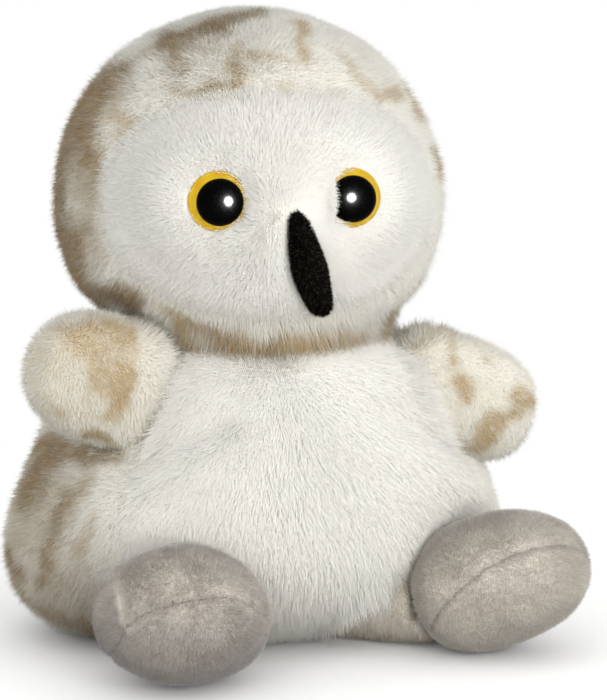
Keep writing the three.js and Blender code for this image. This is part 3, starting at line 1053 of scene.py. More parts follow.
@dataclass(frozen=True)
class Stroke:
    """One soft mark of dye, which in some lists is painted shade, drawn through pixels of the photograph.

    The path is laid on the sack that the photograph shows there. Its width is in pixels of the photograph.
    The mark is full to its core share of the half width, and ends at its edge share.
    """

    path: tuple[tuple[float, float], ...]
    width: float
    strength: float = 1.0
    warmth: float = 0.3
    gain: float = 1.2
    core_share: float = 0.25
    edge_share: float = 1.8
    least_facing: float = 0.4

    def laid(self, tree: BVHTree) -> tuple[list[np.ndarray], float]:
        """Lays the path on a sack.

        Args:
            tree: A search tree of the sack.

        Returns:
            The path's corners on the sack, and how squarely the sack faces the camera there.
        """
        corners, facing = [], 1.0
        for pixel in self.path:
            toward = VIEW.toward(*pixel)
            hit, normal = tree.ray_cast(VIEW.eye, toward)[:2]
            if hit is None:
                hit, normal = tree.find_nearest(VIEW.eye + toward * VIEW.distance)[:2]
            corners.append(np.array(hit))
            facing = min(facing, max(abs(normal.dot(VIEW.back)), self.least_facing))
        return corners, facing

    def on(self, points: Points, tree: BVHTree) -> Field:
        """How strongly the mark colours each point of a sack.

        Args:
            points: The sack's points.
            tree: A search tree of the sack.

        Returns:
            From 0 to the mark's strength.
        """
        corners, facing = self.laid(tree)
        away = path_gap(points, corners)[1]
        half = self.width / 2 / VIEW.pixels_per_mm * MM
        x, y, z = (away @ np.array(axis) for axis in (VIEW.right, VIEW.up, VIEW.back))
        share = np.sqrt((x * x + y * y) / half ** 2 + (z * facing / half) ** 2)
        return min(self.gain * self.strength, 1) * (1 - smoothstep(self.core_share, self.edge_share, share))


def wavy(points: Points, reach: float, size: float, seed: int) -> Points:
    """Points moved a little by smooth noise, so that what is laid on them has uneven edges."""
    return points + reach * np.stack([noise_at(points, size, seed + n) for n in range(3)], -1)


def dye(skin: Skin, strokes: tuple[Stroke, ...], most: float = 0.98, usual_warmth: float = 0.3) -> None:
    """Sets a skin's blotch and warmth fields from strokes of dye, some of which are painted shade.

    Args:
        skin: The skin to dye.
        strokes: The marks, which darken each other where they cross.
        most: The most dye of one stroke.
        usual_warmth: How tan the skin is where no stroke lies.
    """
    tree = skin.tree()
    clear = np.ones(len(skin.points))
    total = np.zeros(len(skin.points))
    warmth = np.zeros(len(skin.points))
    ragged = wavy(skin.points, 1.5 * MM, 4.5 * MM, 50)
    for stroke in strokes:
        mask = stroke.on(ragged, tree)
        warmth += mask * stroke.warmth
        total += mask
        clear *= 1 - np.minimum(mask, most)
    skin.fields["warmth"] = np.where(total > 0, warmth / np.maximum(total, 1e-6), usual_warmth)
    skin.fields["blotch"] = 1 - clear


@dataclass(frozen=True)
class Scatter:
    """Marks of no set place where the photograph doesn't show the owl. Shares are of their spacing."""

    spacing: float
    seed: int
    warmth: float
    wave_share: float = 0.2
    wave_size_share: float = 0.4
    mark_share: float = 0.52
    fine_share: float = 0.2
    fine_height: float = 0.35
    depth: float = 0.75
    depth_spread: float = 0.7
    least_depth: float = 0.3
    edge: float = 0.55

    def on(self, skin: Skin, where: Field) -> None:
        """Adds the marks to a skin, as far as each point is out of sight, from 0 to 1."""
        spacing, seed = self.spacing, self.seed
        bent = wavy(skin.points, self.wave_share * spacing, self.wave_size_share * spacing, seed)
        fine = self.fine_height * noise_at(bent, self.fine_share * spacing, seed + 6)
        rough = noise_at(bent, self.mark_share * spacing, seed + 5) + fine
        depth = self.depth + self.depth_spread * noise_at(skin.points, 2 * spacing, seed + 7)
        mask = where * np.clip(depth, self.least_depth, 1) * smoothstep(0.0, self.edge, rough)
        skin.fields["warmth"] = np.where(mask > skin.fields["blotch"], self.warmth, skin.fields["warmth"])
        skin.fields["blotch"] = np.maximum(skin.fields["blotch"], mask)


def unseen(skin: Skin, near: float, far: float) -> Field:
    """How far each point is out of the photograph's sight, from 0 to 1.

    Args:
        skin: The skin.
        near: The cosine of its angle to the view at which a point starts to count.
        far: The cosine at which it counts in full.

    Returns:
        One number for each point.
    """
    return smoothstep(near, far, skin.normals() @ np.array(VIEW.back))


@dataclass
class BodyForm:
    """The body's pear, as a stack of level ellipses. The shares are those of the pattern.

    Each row of levels is height, half width, half depth, and how far its middle lies back.
    """

    width: float = 93 * MM
    depth: float = 70 * MM
    height: float = 58 * MM
    setback: float = 2 * MM
    lean: float = 8 * MM
    around: int = 216
    levels: int = 60
    base_shares: tuple = (0.15, 0.4, 0.65, 0.85)
    top_shares: tuple = (0.9, 0.78, 0.64, 0.5, 0.35, 0.2, 0.08)
    level_shares: tuple = (
        (0.0, 0.6, 0.5, 1.0), (0.06, 0.79, 0.7, 0.8), (0.15, 0.93, 0.88, 0.5), (0.29, 1.0, 0.99, 0.15),
        (0.44, 0.96, 1.0, 0.1), (0.62, 0.85, 0.95, 0.25), (0.78, 0.75, 0.88, 0.45), (0.92, 0.64, 0.77, 0.6),
        (1.0, 0.5, 0.62, 0.7))

    def at(self, height_share: Field, column: int) -> Field:
        """A column of the level table, read smoothly at heights."""
        table = np.array(self.level_shares)
        x, y = table[:, 0], table[:, column]
        slope = np.gradient(y, x)
        place = np.clip(np.searchsorted(x, height_share, side="right") - 1, 0, len(x) - 2)
        span = x[place + 1] - x[place]
        t = (np.clip(height_share, 0, 1) - x[place]) / span
        return ((2 * t ** 3 - 3 * t ** 2 + 1) * y[place] + (t ** 3 - 2 * t ** 2 + t) * span * slope[place]
                + (3 * t ** 2 - 2 * t ** 3) * y[place + 1] + (t ** 3 - t ** 2) * span * slope[place + 1])

    def section(self, height_share: Field, outward: float) -> tuple[Field, Field, Field]:
        """Half width, half depth and the middle's place back, at heights."""
        half_width = self.at(height_share, 1) * self.width / 2 + outward
        half_depth = self.at(height_share, 2) * self.depth / 2 + outward
        return half_width, half_depth, self.setback + self.at(height_share, 3) * self.lean

    def ring(self, height_share: float, scale: float, outward: float) -> Points:
        """One level ring, drawn in by a scale."""
        half_width, half_depth, middle = self.section(np.array([height_share]), outward)
        angle = np.arange(self.around) / self.around * 2 * math.pi
        z = height_share * (self.height + 2 * outward) - outward
        return np.stack([half_width * scale * np.cos(angle), middle + half_depth * scale * np.sin(angle),
                         np.full(self.around, z)], -1)

    def skin(self, outward: float = 0.0) -> Skin:
        """The pear's closed skin, moved outward by a distance."""
        rings = [self.ring(0, scale, outward) for scale in self.base_shares]
        rings += [self.ring(share, 1, outward) for share in np.linspace(0, 1, self.levels)]
        rings += [self.ring(1, scale, outward) for scale in self.top_shares]
        return Skin.from_rings(np.array(rings))

    def inside(self, points: Points, outward: float = 0.0) -> Marks:
        """Which points lie in the pear, moved outward by a distance."""
        share = (points[:, 2] + outward) / (self.height + 2 * outward)
        half_width, half_depth, middle = self.section(share, outward)
        spread = (points[:, 0] / half_width) ** 2 + ((points[:, 1] - middle) / half_depth) ** 2
        return (spread < 1) & (share > 0) & (share < 1)


@dataclass
class HeadForm:
    """The head's ball above a rounder cap, about its own centre, turned to its rest."""

    half_width: float = 34.5 * MM
    half_depth: float = 33 * MM
    half_height: float = 34 * MM
    cap_radius: float = 32 * MM
    cap_top: float = math.radians(-44)
    cheek_bottom: float = math.radians(-22)
    centre: tuple = (0, 5 * MM, 82 * MM)
    turn: float = math.radians(-12)
    around: int = 216
    rings: int = 122

    @property
    def place(self) -> Matrix:
        """From the head's own frame to the owl's."""
        return Matrix.Translation(self.centre) @ Matrix.Rotation(self.turn, 4, "Z")

    def halves(self, lift: Field, outward: float) -> Points:
        """Half sizes at a lift above the head's middle."""
        cheek = smoothstep(self.cap_top, self.cheek_bottom, lift)[..., None]
        full = np.array([self.half_width, self.half_depth, self.half_height])
        return self.cap_radius * (1 - cheek) + full * cheek + outward

    def local_skin(self, outward: float = 0.0) -> Skin:
        """The head's closed skin in its own frame."""
        lift = math.pi * ((np.arange(self.rings) + 0.5) / self.rings - 0.5)
        angle = np.arange(self.around) / self.around * 2 * math.pi
        lift, angle = np.meshgrid(lift, angle, indexing="ij")
        toward = np.stack([np.cos(angle) * np.cos(lift), np.sin(angle) * np.cos(lift), np.sin(lift)], -1)
        return Skin.from_rings(self.halves(lift, outward) * toward)

    def inside(self, points: Points, outward: float = 0.0) -> Marks:
        """Which points of its own frame lie in the head, moved outward by a distance."""
        lift = np.arctan2(points[:, 2], np.linalg.norm(points[:, :2], axis=-1))
        return ((points / self.halves(lift, outward)) ** 2).sum(-1) < 1


def moved(points: Points, matrix: Matrix) -> Points:
    """Points taken through a matrix."""
    full = np.array(matrix)
    return points @ full[:3, :3].T + full[:3, 3]


@dataclass
class LimbForm:
    """A limb about its root, reaching along its own +X: a round root, then a full, blunt taper."""

    height: float
    width: float
    reach: float
    fullness: float
    around: int = 96
    rings: int = 56

    def sizes(self, outward: float) -> tuple[float, float, float]:
        """Radius of the root, half width and reach, moved outward by a distance."""
        return self.height / 2 + outward, self.width / 2 + outward, self.reach + outward

    def local_skin(self, outward: float = 0.0) -> Skin:
        """The limb's closed skin in its own frame."""
        turn = math.pi * (np.arange(self.rings) + 0.5) / self.rings
        inner = np.cos(turn) > 0
        root, half, length = self.sizes(outward)
        along = np.where(inner, -root, -length) * np.cos(turn)
        share = np.where(inner, np.sin(turn), self.share(np.abs(np.cos(turn))))
        angle = np.arange(self.around) / self.around * 2 * math.pi
        along, angle = np.meshgrid(along, angle, indexing="ij")
        across, up = half * share[:, None] * np.cos(angle), root * share[:, None] * np.sin(angle)
        return Skin.from_rings(np.stack([along, across, up], -1))

    def share(self, along_share: Field) -> Field:
        """The taper's share of the full section at a share of the reach."""
        return np.maximum(1 - np.clip(along_share, 0, 1) ** self.fullness, 0) ** (1 / self.fullness)

    def inside(self, points: Points, outward: float = 0.0) -> Marks:
        """Which points of its own frame lie in the limb, moved outward by a distance."""
        root, half, length = self.sizes(outward)
        x = points[:, 0]
        inner = np.sqrt(np.maximum(1 - (x / root) ** 2, 0))
        share = np.where(x < 0, inner, self.share(x / length))
        across = (points[:, 1] / half) ** 2 + (points[:, 2] / root) ** 2
        return (across < share ** 2) & (share > 0)


def limb_place(side: Side, position: tuple, forward: float, lift: float) -> Matrix:
    """From a limb's own frame to the owl's.

    Args:
        side: The owl's side.
        position: The limb's root.
        forward: How far the limb points to the front, in degrees from straight out.
        lift: How far its tip is raised, in degrees.

    Returns:
        The matrix.
    """
    heading = -forward if side is Side.LEFT else 180 + forward
    return (Matrix.Translation(position) @ Matrix.Rotation(math.radians(heading), 4, "Z")
            @ Matrix.Rotation(math.radians(-lift), 4, "Y"))


WING_FORM = LimbForm(21.6 * MM, 14 * MM, 19.5 * MM, 2.8)
FOOT_FORM = LimbForm(23.6 * MM, 29 * MM, 21 * MM, 2.5, around=144, rings=100)
LEG_FORM = LimbForm(17 * MM, 18 * MM, 25 * MM, 3.0, rings=40, around=72)
BODY_FORM = BodyForm()
HEAD_FORM = HeadForm()
TURNING_GAP = 0.6 * MM
WING_FORWARD = 14.0
WING_LOWEST = -14.0
FOOT_LOWEST = 0.0
FOOT_FORWARD = 49.0
WING_REST = {Side.LEFT: -14.0, Side.RIGHT: 18.0}
FOOT_REST = {Side.LEFT: 20.0, Side.RIGHT: 9.0}


def wing_place(side: Side, lift: float | None = None) -> Matrix:
    """From a wing's own frame to the owl's, at rest or at a lift."""
    shoulder = joint(f"wing_{side.word}_lift")["pos_m"]
    return limb_place(side, shoulder, WING_FORWARD, WING_REST[side] if lift is None else lift)


def foot_place(side: Side, lift: float | None = None) -> Matrix:
    """From a foot's own frame to the owl's, at rest or at a lift."""
    ankle = joint(f"foot_{side.word}_flex")["pos_m"]
    return limb_place(side, ankle, FOOT_FORWARD, FOOT_REST[side] if lift is None else lift)


def pair(place: Callable[[Side, float | None], Matrix], lift: float | None = None) -> tuple[Matrix, ...]:
    """The places of a left and a right limb, at rest or at a lift."""
    return tuple(place(side, lift) for side in Side)


@dataclass(frozen=True)
class LimbPair:
    """A left and a right limb of one form, which the sacks round them leave room for.

    Points leave a limb across the axis that it has in ways, and more slowly near that axis.
    """

    form: LimbForm
    places: tuple[Matrix, ...]
    ways: tuple[Matrix, ...]
    pull: float = 1.3
    core: float = 10 * MM

    def inside(self, points: Points, outward: float) -> Marks:
        """Which points lie in a limb, moved outward by a distance."""
        left, right = (self.form.inside(moved(points, place.inverted()), outward) for place in self.places)
        return left | right

    def away(self, points: Points) -> Points:
        """The way out of the nearer limb, longer further from its axis."""
        left, right = (self.away_from(points, way) for way in self.ways)
        return np.where(points[:, :1] > 0, left, right)

    def away_from(self, points: Points, way: Matrix) -> Points:
        """The way out of one limb."""
        local = moved(points, way.inverted())
        local[:, 0] = 0
        radial = local @ np.array(way)[:3, :3].T
        size = np.linalg.norm(radial, axis=-1, keepdims=True)
        return unit(radial) * self.pull * np.minimum(size / self.core, 1) ** 2


@dataclass(frozen=True)
class NeckBall:
    """The ball that the head turns in."""

    pull: float = 3.0

    def inside(self, points: Points, outward: float) -> Marks:
        """Which points lie in the ball, moved outward by a distance."""
        return ((points - np.array(HEAD_FORM.centre)) ** 2).sum(-1) < (HEAD_FORM.cap_radius + outward) ** 2

    def away(self, points: Points) -> Points:
        """The way out of the ball."""
        return self.pull * unit(points - np.array(HEAD_FORM.centre))


WINGS = LimbPair(WING_FORM, pair(wing_place, WING_LOWEST), pair(wing_place, WING_LOWEST))
FEET = LimbPair(FOOT_FORM, pair(foot_place), pair(foot_place))
FEET_LOW = LimbPair(FOOT_FORM, pair(foot_place, FOOT_LOWEST), pair(foot_place))
NECK_BALL = NeckBall()
NECK_CLEARANCE = 2 * MM
SOFT_PILE = Pile(length=2.9 * MM, lean=40, density=17e6, width=0.19 * MM, lean_spread=11, side_spread=0.45,
                 tuft=2.2 * MM, tuft_pull=0.06, tuft_turn=0.22, softness=0.9)
FACE_PILE = Pile(length=3.0 * MM, lean=46, density=21e6, width=0.19 * MM, lean_spread=7, side_spread=0.28,
                 tuft=2.0 * MM, tuft_pull=0.05, tuft_turn=0.22, softness=0.93)
BELLY_PILE = Pile(length=4.0 * MM, lean=54, density=21e6, width=0.19 * MM, lean_spread=6, side_spread=0.22,
                  tuft=3.0 * MM, tuft_pull=0.05, tuft_turn=0.14, softness=0.94)
WING_PILE = Pile(length=2.1 * MM, lean=36, density=21e6, width=0.18 * MM, lean_spread=11, side_spread=0.5,
                 tuft=2.0 * MM, tuft_pull=0.05, tuft_turn=0.2, softness=0.92)
LID_PILE = Pile(length=4 * MM, lean=70, density=110e6, width=0.22 * MM, lean_spread=4, side_spread=0.1,
                length_spread=0.03, tuft_pull=0.0, tuft_turn=0.08, softness=0.93)
BASE_PILE = Pile(length=2.0 * MM, lean=76, density=3.5e6, width=0.35 * MM)
FOOT_PILE = Pile(length=0.95 * MM, lean=44, density=21e6, width=0.15 * MM, lean_spread=13, side_spread=0.6,
                 tuft=1.6 * MM, tuft_pull=0.08, tuft_turn=0.7, softness=0.8)
BEAK_PILE = Pile(length=0.7 * MM, lean=24, density=30e6, width=0.14 * MM, lean_spread=20, side_spread=1.2,
                 tuft=1.0 * MM, tuft_pull=0.1, tuft_turn=1.2, softness=0.5)


@dataclass
class Torso:
    """The bean-weighted body: back, belly and base panels, filling and the pouch of pellets.

    A fold runs from each wing to the chin. Its ends, and each row of folds, which is shift up, height
    and width, are in the pattern's millimetres.
    """

    body: str = "torso"
    belly_half_angle: float = math.radians(58)
    base_level: float = 1.3 * MM
    least_height: float = 0.3 * MM
    lump_height: float = 0.7 * MM
    lump_size: float = 17 * MM
    seam_depth: float = 0.5 * MM
    seam_width: float = 2.2 * MM
    seam_snap: float = 0.6 * MM
    seam_foot: float = 3 * MM
    seam_radius: float = 14 * MM
    dish_softness: float = 1.5 * MM
    settled_share: float = 0.7
    neck_cover: float = 2.5 * MM
    foot_cover: float = 4 * MM
    root_margin: float = 2 * MM
    root_slimness: float = 0.9
    fold_start: tuple = (34, -18, 37)
    fold_end: tuple = (9, -28, 52)
    fold_drops: tuple = ((Side.RIGHT, 0.0), (Side.LEFT, 3.0))
    folds: tuple = ((0.0, -2.4, 3.6), (-8.0, 1.3, 6.0))
    nap_source: tuple = (0, -26 * MM, 60 * MM)
    nap_drop: float = 30 * MM
    wing_fluff: float = 5 * MM
    filling_inset: float = 2.4 * MM
    limb_inset: float = 2.6 * MM
    pouch_top: float = 16.3 * MM
    pouch_bottom: float = 1.7 * MM
    pouch_slack: float = 0.8 * MM
    pellet_size: float = 2.4 * MM
    pellet_height: float = 0.5 * MM

    def belly_edge(self, points: Points) -> Field:
        """Signed distance from the side seam, below zero on the belly."""
        across, ahead = points[:, 0], -(points[:, 1] - BODY_FORM.setback)
        return (np.abs(np.arctan2(across, ahead)) - self.belly_half_angle) * np.hypot(across, ahead)

    def shaped(self) -> Skin:
        """The body's skin with its dishes, its seams and the folds of the chest.

        Returns:
            The skin with all its fields.
        """
        skin = BODY_FORM.skin()
        upper = smoothstep(2 * MM, 12 * MM, skin.points[:, 2])
        skin.swell(self.lump_height * upper * noise_at(skin.points, self.lump_size, 3))
        self.crease(skin)
        from_middle = np.hypot(skin.points[:, 0], skin.points[:, 1])
        skin.snap(self.belly_edge, self.seam_snap, from_middle > self.seam_radius)
        seam = np.abs(self.belly_edge(skin.points))
        skin.pinch(np.where(skin.points[:, 2] > self.seam_foot, seam, FAR), self.seam_depth, self.seam_width)
        dished = skin.clear_of(NECK_BALL, NECK_CLEARANCE)
        winged = skin.clear_of(WINGS, TURNING_GAP)
        footed = skin.clear_of(FEET, TURNING_GAP)
        skin.smooth(np.minimum(1, (winged + footed) / self.dish_softness), 4)
        skin.clear_of(WINGS, TURNING_GAP * self.settled_share)
        skin.clear_of(FEET, TURNING_GAP * self.settled_share)
        skin.rest_on(self.least_height)
        hidden = np.clip(dished / self.neck_cover, 0, 1) + self.in_root(skin.points)
        hidden += np.clip(footed / self.foot_cover, 0, 1)
        self.comb(skin, 1 - np.clip(hidden, 0, 1))
        return skin

    def in_root(self, points: Points) -> Field:
        """Marks points that a wing's round root always covers."""
        reach = WING_FORM.height / 2 + self.root_margin
        caught = np.zeros(len(points))
        for side in Side:
            x, y, z = moved(points, wing_place(side).inverted()).T
            ball = (x / reach) ** 2 + (z / reach) ** 2 + (y / (reach * self.root_slimness)) ** 2 < 0.8
            caught = np.maximum(caught, ball.astype(float))
        return caught

    def crease(self, skin: Skin) -> None:
        """Draws in the soft folds that run from each wing to the chin, and swells the belly below them."""
        for side, drop in self.fold_drops:
            start, end = (np.array([side.value * out, ahead, up - drop]) * MM
                          for out, ahead, up in (self.fold_start, self.fold_end))
            for shift, height, width in self.folds:
                first, line = start + np.array([0, 0, shift]) * MM, end - start
                share = np.clip(((skin.points - first) @ line) / (line @ line), 0, 1)
                away = np.linalg.norm(skin.points - first - share[:, None] * line, axis=-1)
                fade = 1 - 0.75 * smoothstep(0.45, 1.0, share)
                skin.swell(height * MM * fade * np.exp(-(away / (width * MM)) ** 2))

    def comb(self, skin: Skin, open_share: Field) -> None:
        """Sets the nap, the length and the colour marks of the pile: dyed marks and painted shade.

        Args:
            skin: The body's skin.
            open_share: How open each point is, from 0 where the head or a limb always covers it.
        """
        p, fields = skin.points, skin.fields
        belly = self.belly_edge(p) < 0
        spread = unit(p - np.array(self.nap_source))
        down = unit(np.stack([0.25 * p[:, 0], 0.2 * p[:, 1], np.full(len(p), -self.nap_drop)], -1))
        flow = np.where(belly[:, None], 0.5 * spread + 0.7 * down, 1.1 * down)
        by_wing = WINGS.inside(p, self.wing_fluff) & belly
        outward = np.stack([np.sign(p[:, 0]), np.full(len(p), -0.8), np.full(len(p), -0.1)], -1)
        fields["flow"] = np.where(by_wing[:, None], 0.8 * outward, flow)
        fields["density"] = open_share * np.where(by_wing, 2.0, 1)
        from_neck = np.linalg.norm(p - np.array(HEAD_FORM.centre), axis=-1) - HEAD_FORM.cap_radius
        tree = skin.tree()
        shaded, hem = LEG_SHADE.on(p, tree), HEM.on(p, tree)
        fields["length"] = np.where(by_wing, 1.5, 1) * (1 - 0.65 * shaded) * (1 + 0.5 * hem)
        fields["length"] *= 0.4 + 0.6 * smoothstep(2 * MM, 12 * MM, from_neck)
        dye(skin, BODY_MARKS)
        Scatter(spacing=20 * MM, seed=4, warmth=0.35).on(skin, unseen(skin, 0.12, -0.2) * (~belly))
        fields["blotch"] *= smoothstep(-2 * MM, 3 * MM, self.belly_edge(p))
        # Painted shade on the low front, where the leg lies in shadow under the belly.
        fields["blotch"] = np.maximum(fields["blotch"], 0.5 * shaded * (1 - hem))

    def build(self) -> None:
        """Makes the panels, their pile and what is inside."""
        skin = self.shaped()
        centre = skin.points[skin.quads].mean(1)
        low = centre[:, 2] < self.base_level
        belly = (self.belly_edge(centre) < 0) & ~low
        back = ~belly & ~low
        bottom = skin.points[skin.triangles].mean(1)[:, 2] < self.base_level
        none = np.zeros_like(bottom)
        for panel, quads, triangles in (
            (Panel("belly_panel", "belly_cover", "white_plush", BELLY_PLUSH, BELLY_PILE, 11), belly, none),
            (Panel("back_panel", "back_cover", "spotted_plush", SPOTTED_PLUSH, SOFT_PILE, 12), back, ~bottom),
            (Panel("base_panel", "base_cover", "base_plush", BASE_PLUSH, BASE_PILE, 13), low, bottom),
        ):
            panel.dress(skin, quads, triangles, self.body)
        self.fill()

    def fill(self) -> None:
        """Makes the filling and the pouch of pellets."""
        stuffing = BODY_FORM.skin(-self.filling_inset)
        stuffing.lump(height=1.0 * MM, size=9 * MM, seed=8)
        stuffing.rest_on(self.pouch_top + 0.4 * MM)
        stuffing.clear_of(NECK_BALL, NECK_CLEARANCE + self.filling_inset)
        stuffing.clear_of(WINGS, self.limb_inset)
        stuffing.clear_of(FEET, self.limb_inset)
        show(stuffing.closed_mesh("body_filling"), FILLING.material(), self.body,
             ("body_stuffing",))
        pouch = BODY_FORM.skin(-self.filling_inset)
        pellets = noise_at(pouch.points, self.pellet_size, 6)
        pouch.swell(self.pellet_height * pellets)
        pouch.clear_of(FEET, self.limb_inset)
        top = self.pouch_top - self.pouch_slack + self.pellet_height * pellets
        pouch.points[:, 2] = np.minimum(pouch.points[:, 2], top)
        pouch.rest_on(self.pouch_bottom)
        show(pouch.closed_mesh("bean_bag"), BEAN_CLOTH.material(), self.body,
             ("bean_pouch",))


LEG_SHADE = Stroke(((342, 627), (372, 610), (408, 614)), 36)
HEM = Stroke(((322, 616), (345, 595), (366, 577), (408, 584), (428, 557)), 11)
BODY_MARKS = (
    # Dark band under the wing: painted shadow, and dyed marks.
    Stroke(((48, 446), (88, 449), (120, 452)), 20, 1.0, 0.1),
    Stroke(((62, 452), (50, 468), (36, 492)), 30, 1.0, 0.05),
    Stroke(((74, 490), (64, 526), (57, 546), (48, 575)), 14, 0.85, 0.05),
    Stroke(((17, 546), (24, 566)), 17, 1.0, 0.0),
    Stroke(((22, 575), (42, 598), (92, 618)), 18, 0.5, 0.15),
    Stroke(((78, 500), (96, 476)), 14, 0.55, 0.4),
    # Broad mark over the flank: painted shade on the side away from the lamps, and dyed marks.
    Stroke(((45, 470), (36, 540), (80, 600)), 90, 0.46, 0.1),
    # Painted shade along the side seam.
    Stroke(((99, 513), (86, 546)), 13, 0.45, 0.5),
    # Painted shadow beside the foot.
    Stroke(((88, 612), (97, 622)), 12, 0.7, 0.2),
)


@dataclass
class Leg:
    """A short white tube under the belly that carries a foot."""

    side: Side
    body: str = "torso"
    hip_out: float = 12.555 * MM
    hip_ahead: float = -14 * MM
    hip_height: float = 9.1 * MM
    least_height: float = 0.5 * MM
    hidden_depth: float = 1.5 * MM
    foot_margin: float = 1.2 * MM

    def shaped(self) -> Skin:
        """The leg's skin, with room for the foot at rest and at its lowest."""
        hip = (self.side.value * self.hip_out, self.hip_ahead, self.hip_height)
        skin = LEG_FORM.local_skin()
        skin.points = moved(skin.points, limb_place(self.side, hip, FOOT_FORWARD, 0))
        skin.clear_of(FEET, TURNING_GAP)
        skin.clear_of(FEET_LOW, 0.5 * TURNING_GAP)
        skin.rest_on(self.least_height)
        return skin

    def build(self) -> None:
        """Makes the leg's fabric and pile."""
        skin, word = self.shaped(), self.side.word
        outside = ~BODY_FORM.inside(skin.points, -self.hidden_depth)
        open_share = ~FEET.inside(skin.points, self.foot_margin) & outside
        # Half-strength marking all over the sleeve is painted shade: the leg lies in shadow under the belly.
        skin.plain_pile([0.0, -0.3, -1.0], length=0.6, density=open_share, blotch=0.5, warmth=0.3)
        sleeve = Panel(f"leg_{word}_sleeve", f"leg_{word}", "white_plush", BELLY_PLUSH, SOFT_PILE,
                       20 + self.side.value)
        sleeve.dress(skin, outside[skin.quads].any(1), outside[skin.triangles].any(1), self.body)


@dataclass
class Neck:
    """The ring of thread that sews the head to the body."""

    ring_radius: float = 32.85 * MM
    lift: float = math.radians(-53)
    stitches: int = 64
    rise: float = 1.2 * MM
    thread: float = 0.45 * MM

    def build(self) -> None:
        """Makes the stitches, each a short leaning tube."""
        centre = Vector(HEAD_FORM.centre)
        radius, drop = self.ring_radius * math.cos(self.lift), self.ring_radius * math.sin(self.lift)
        step = 2 * math.pi / self.stitches
        paths = []
        for stitch in range(self.stitches):
            turns = [((stitch + share) * step, rise) for share, rise in ((0.1, -0.5), (0.5, 0.0), (0.9, 0.5))]
            paths.append([centre + Vector((radius * math.cos(turn), radius * math.sin(turn),
                                           drop + rise * self.rise)) for turn, rise in turns])
        show(tubes("neck_stitching", paths, self.thread), CREAM_THREAD.material(), "neck",
             ("neck_seam",))


def tubes(name: str, paths: list[list[Vector]], radius: float, sides: int = 8, end_reach: float = 0.6,
          end_scale: float = 0.55) -> bpy.types.Mesh:
    """Builds round tubes with closed, rounded ends.

    Args:
        name: The mesh's name.
        paths: The points that each tube follows.
        radius: The tubes' radius.
        sides: How many sides each has.
        end_reach: How far an end stands out, as a share of the radius.
        end_scale: How wide it is there.

    Returns:
        One mesh of all the tubes.
    """
    points: list[Vector] = []
    faces: list[list[int]] = []
    for path in paths:
        ahead = (path[-1] - path[0]).normalized()
        rings = [(path[0] - ahead * radius * end_reach, end_scale)] + [(p, 1.0) for p in path]
        rings.append((path[-1] + ahead * radius * end_reach, end_scale))
        start = len(points)
        for place, scale in rings:
            across = ahead.orthogonal().normalized()
            over = ahead.cross(across)
            for side in range(sides):
                angle = 2 * math.pi * side / sides
                points.append(place + (across * math.cos(angle) + over * math.sin(angle)) * radius * scale)
        for ring in range(len(rings) - 1):
            for side in range(sides):
                a, b = start + ring * sides + side, start + ring * sides + (side + 1) % sides
                faces.append([a, b, b + sides, a + sides])
        last = start + (len(rings) - 1) * sides
        faces.append([start + side for side in reversed(range(sides))])
        faces.append([last + side for side in range(sides)])
    return mesh_from(name, np.array(points), faces, {})


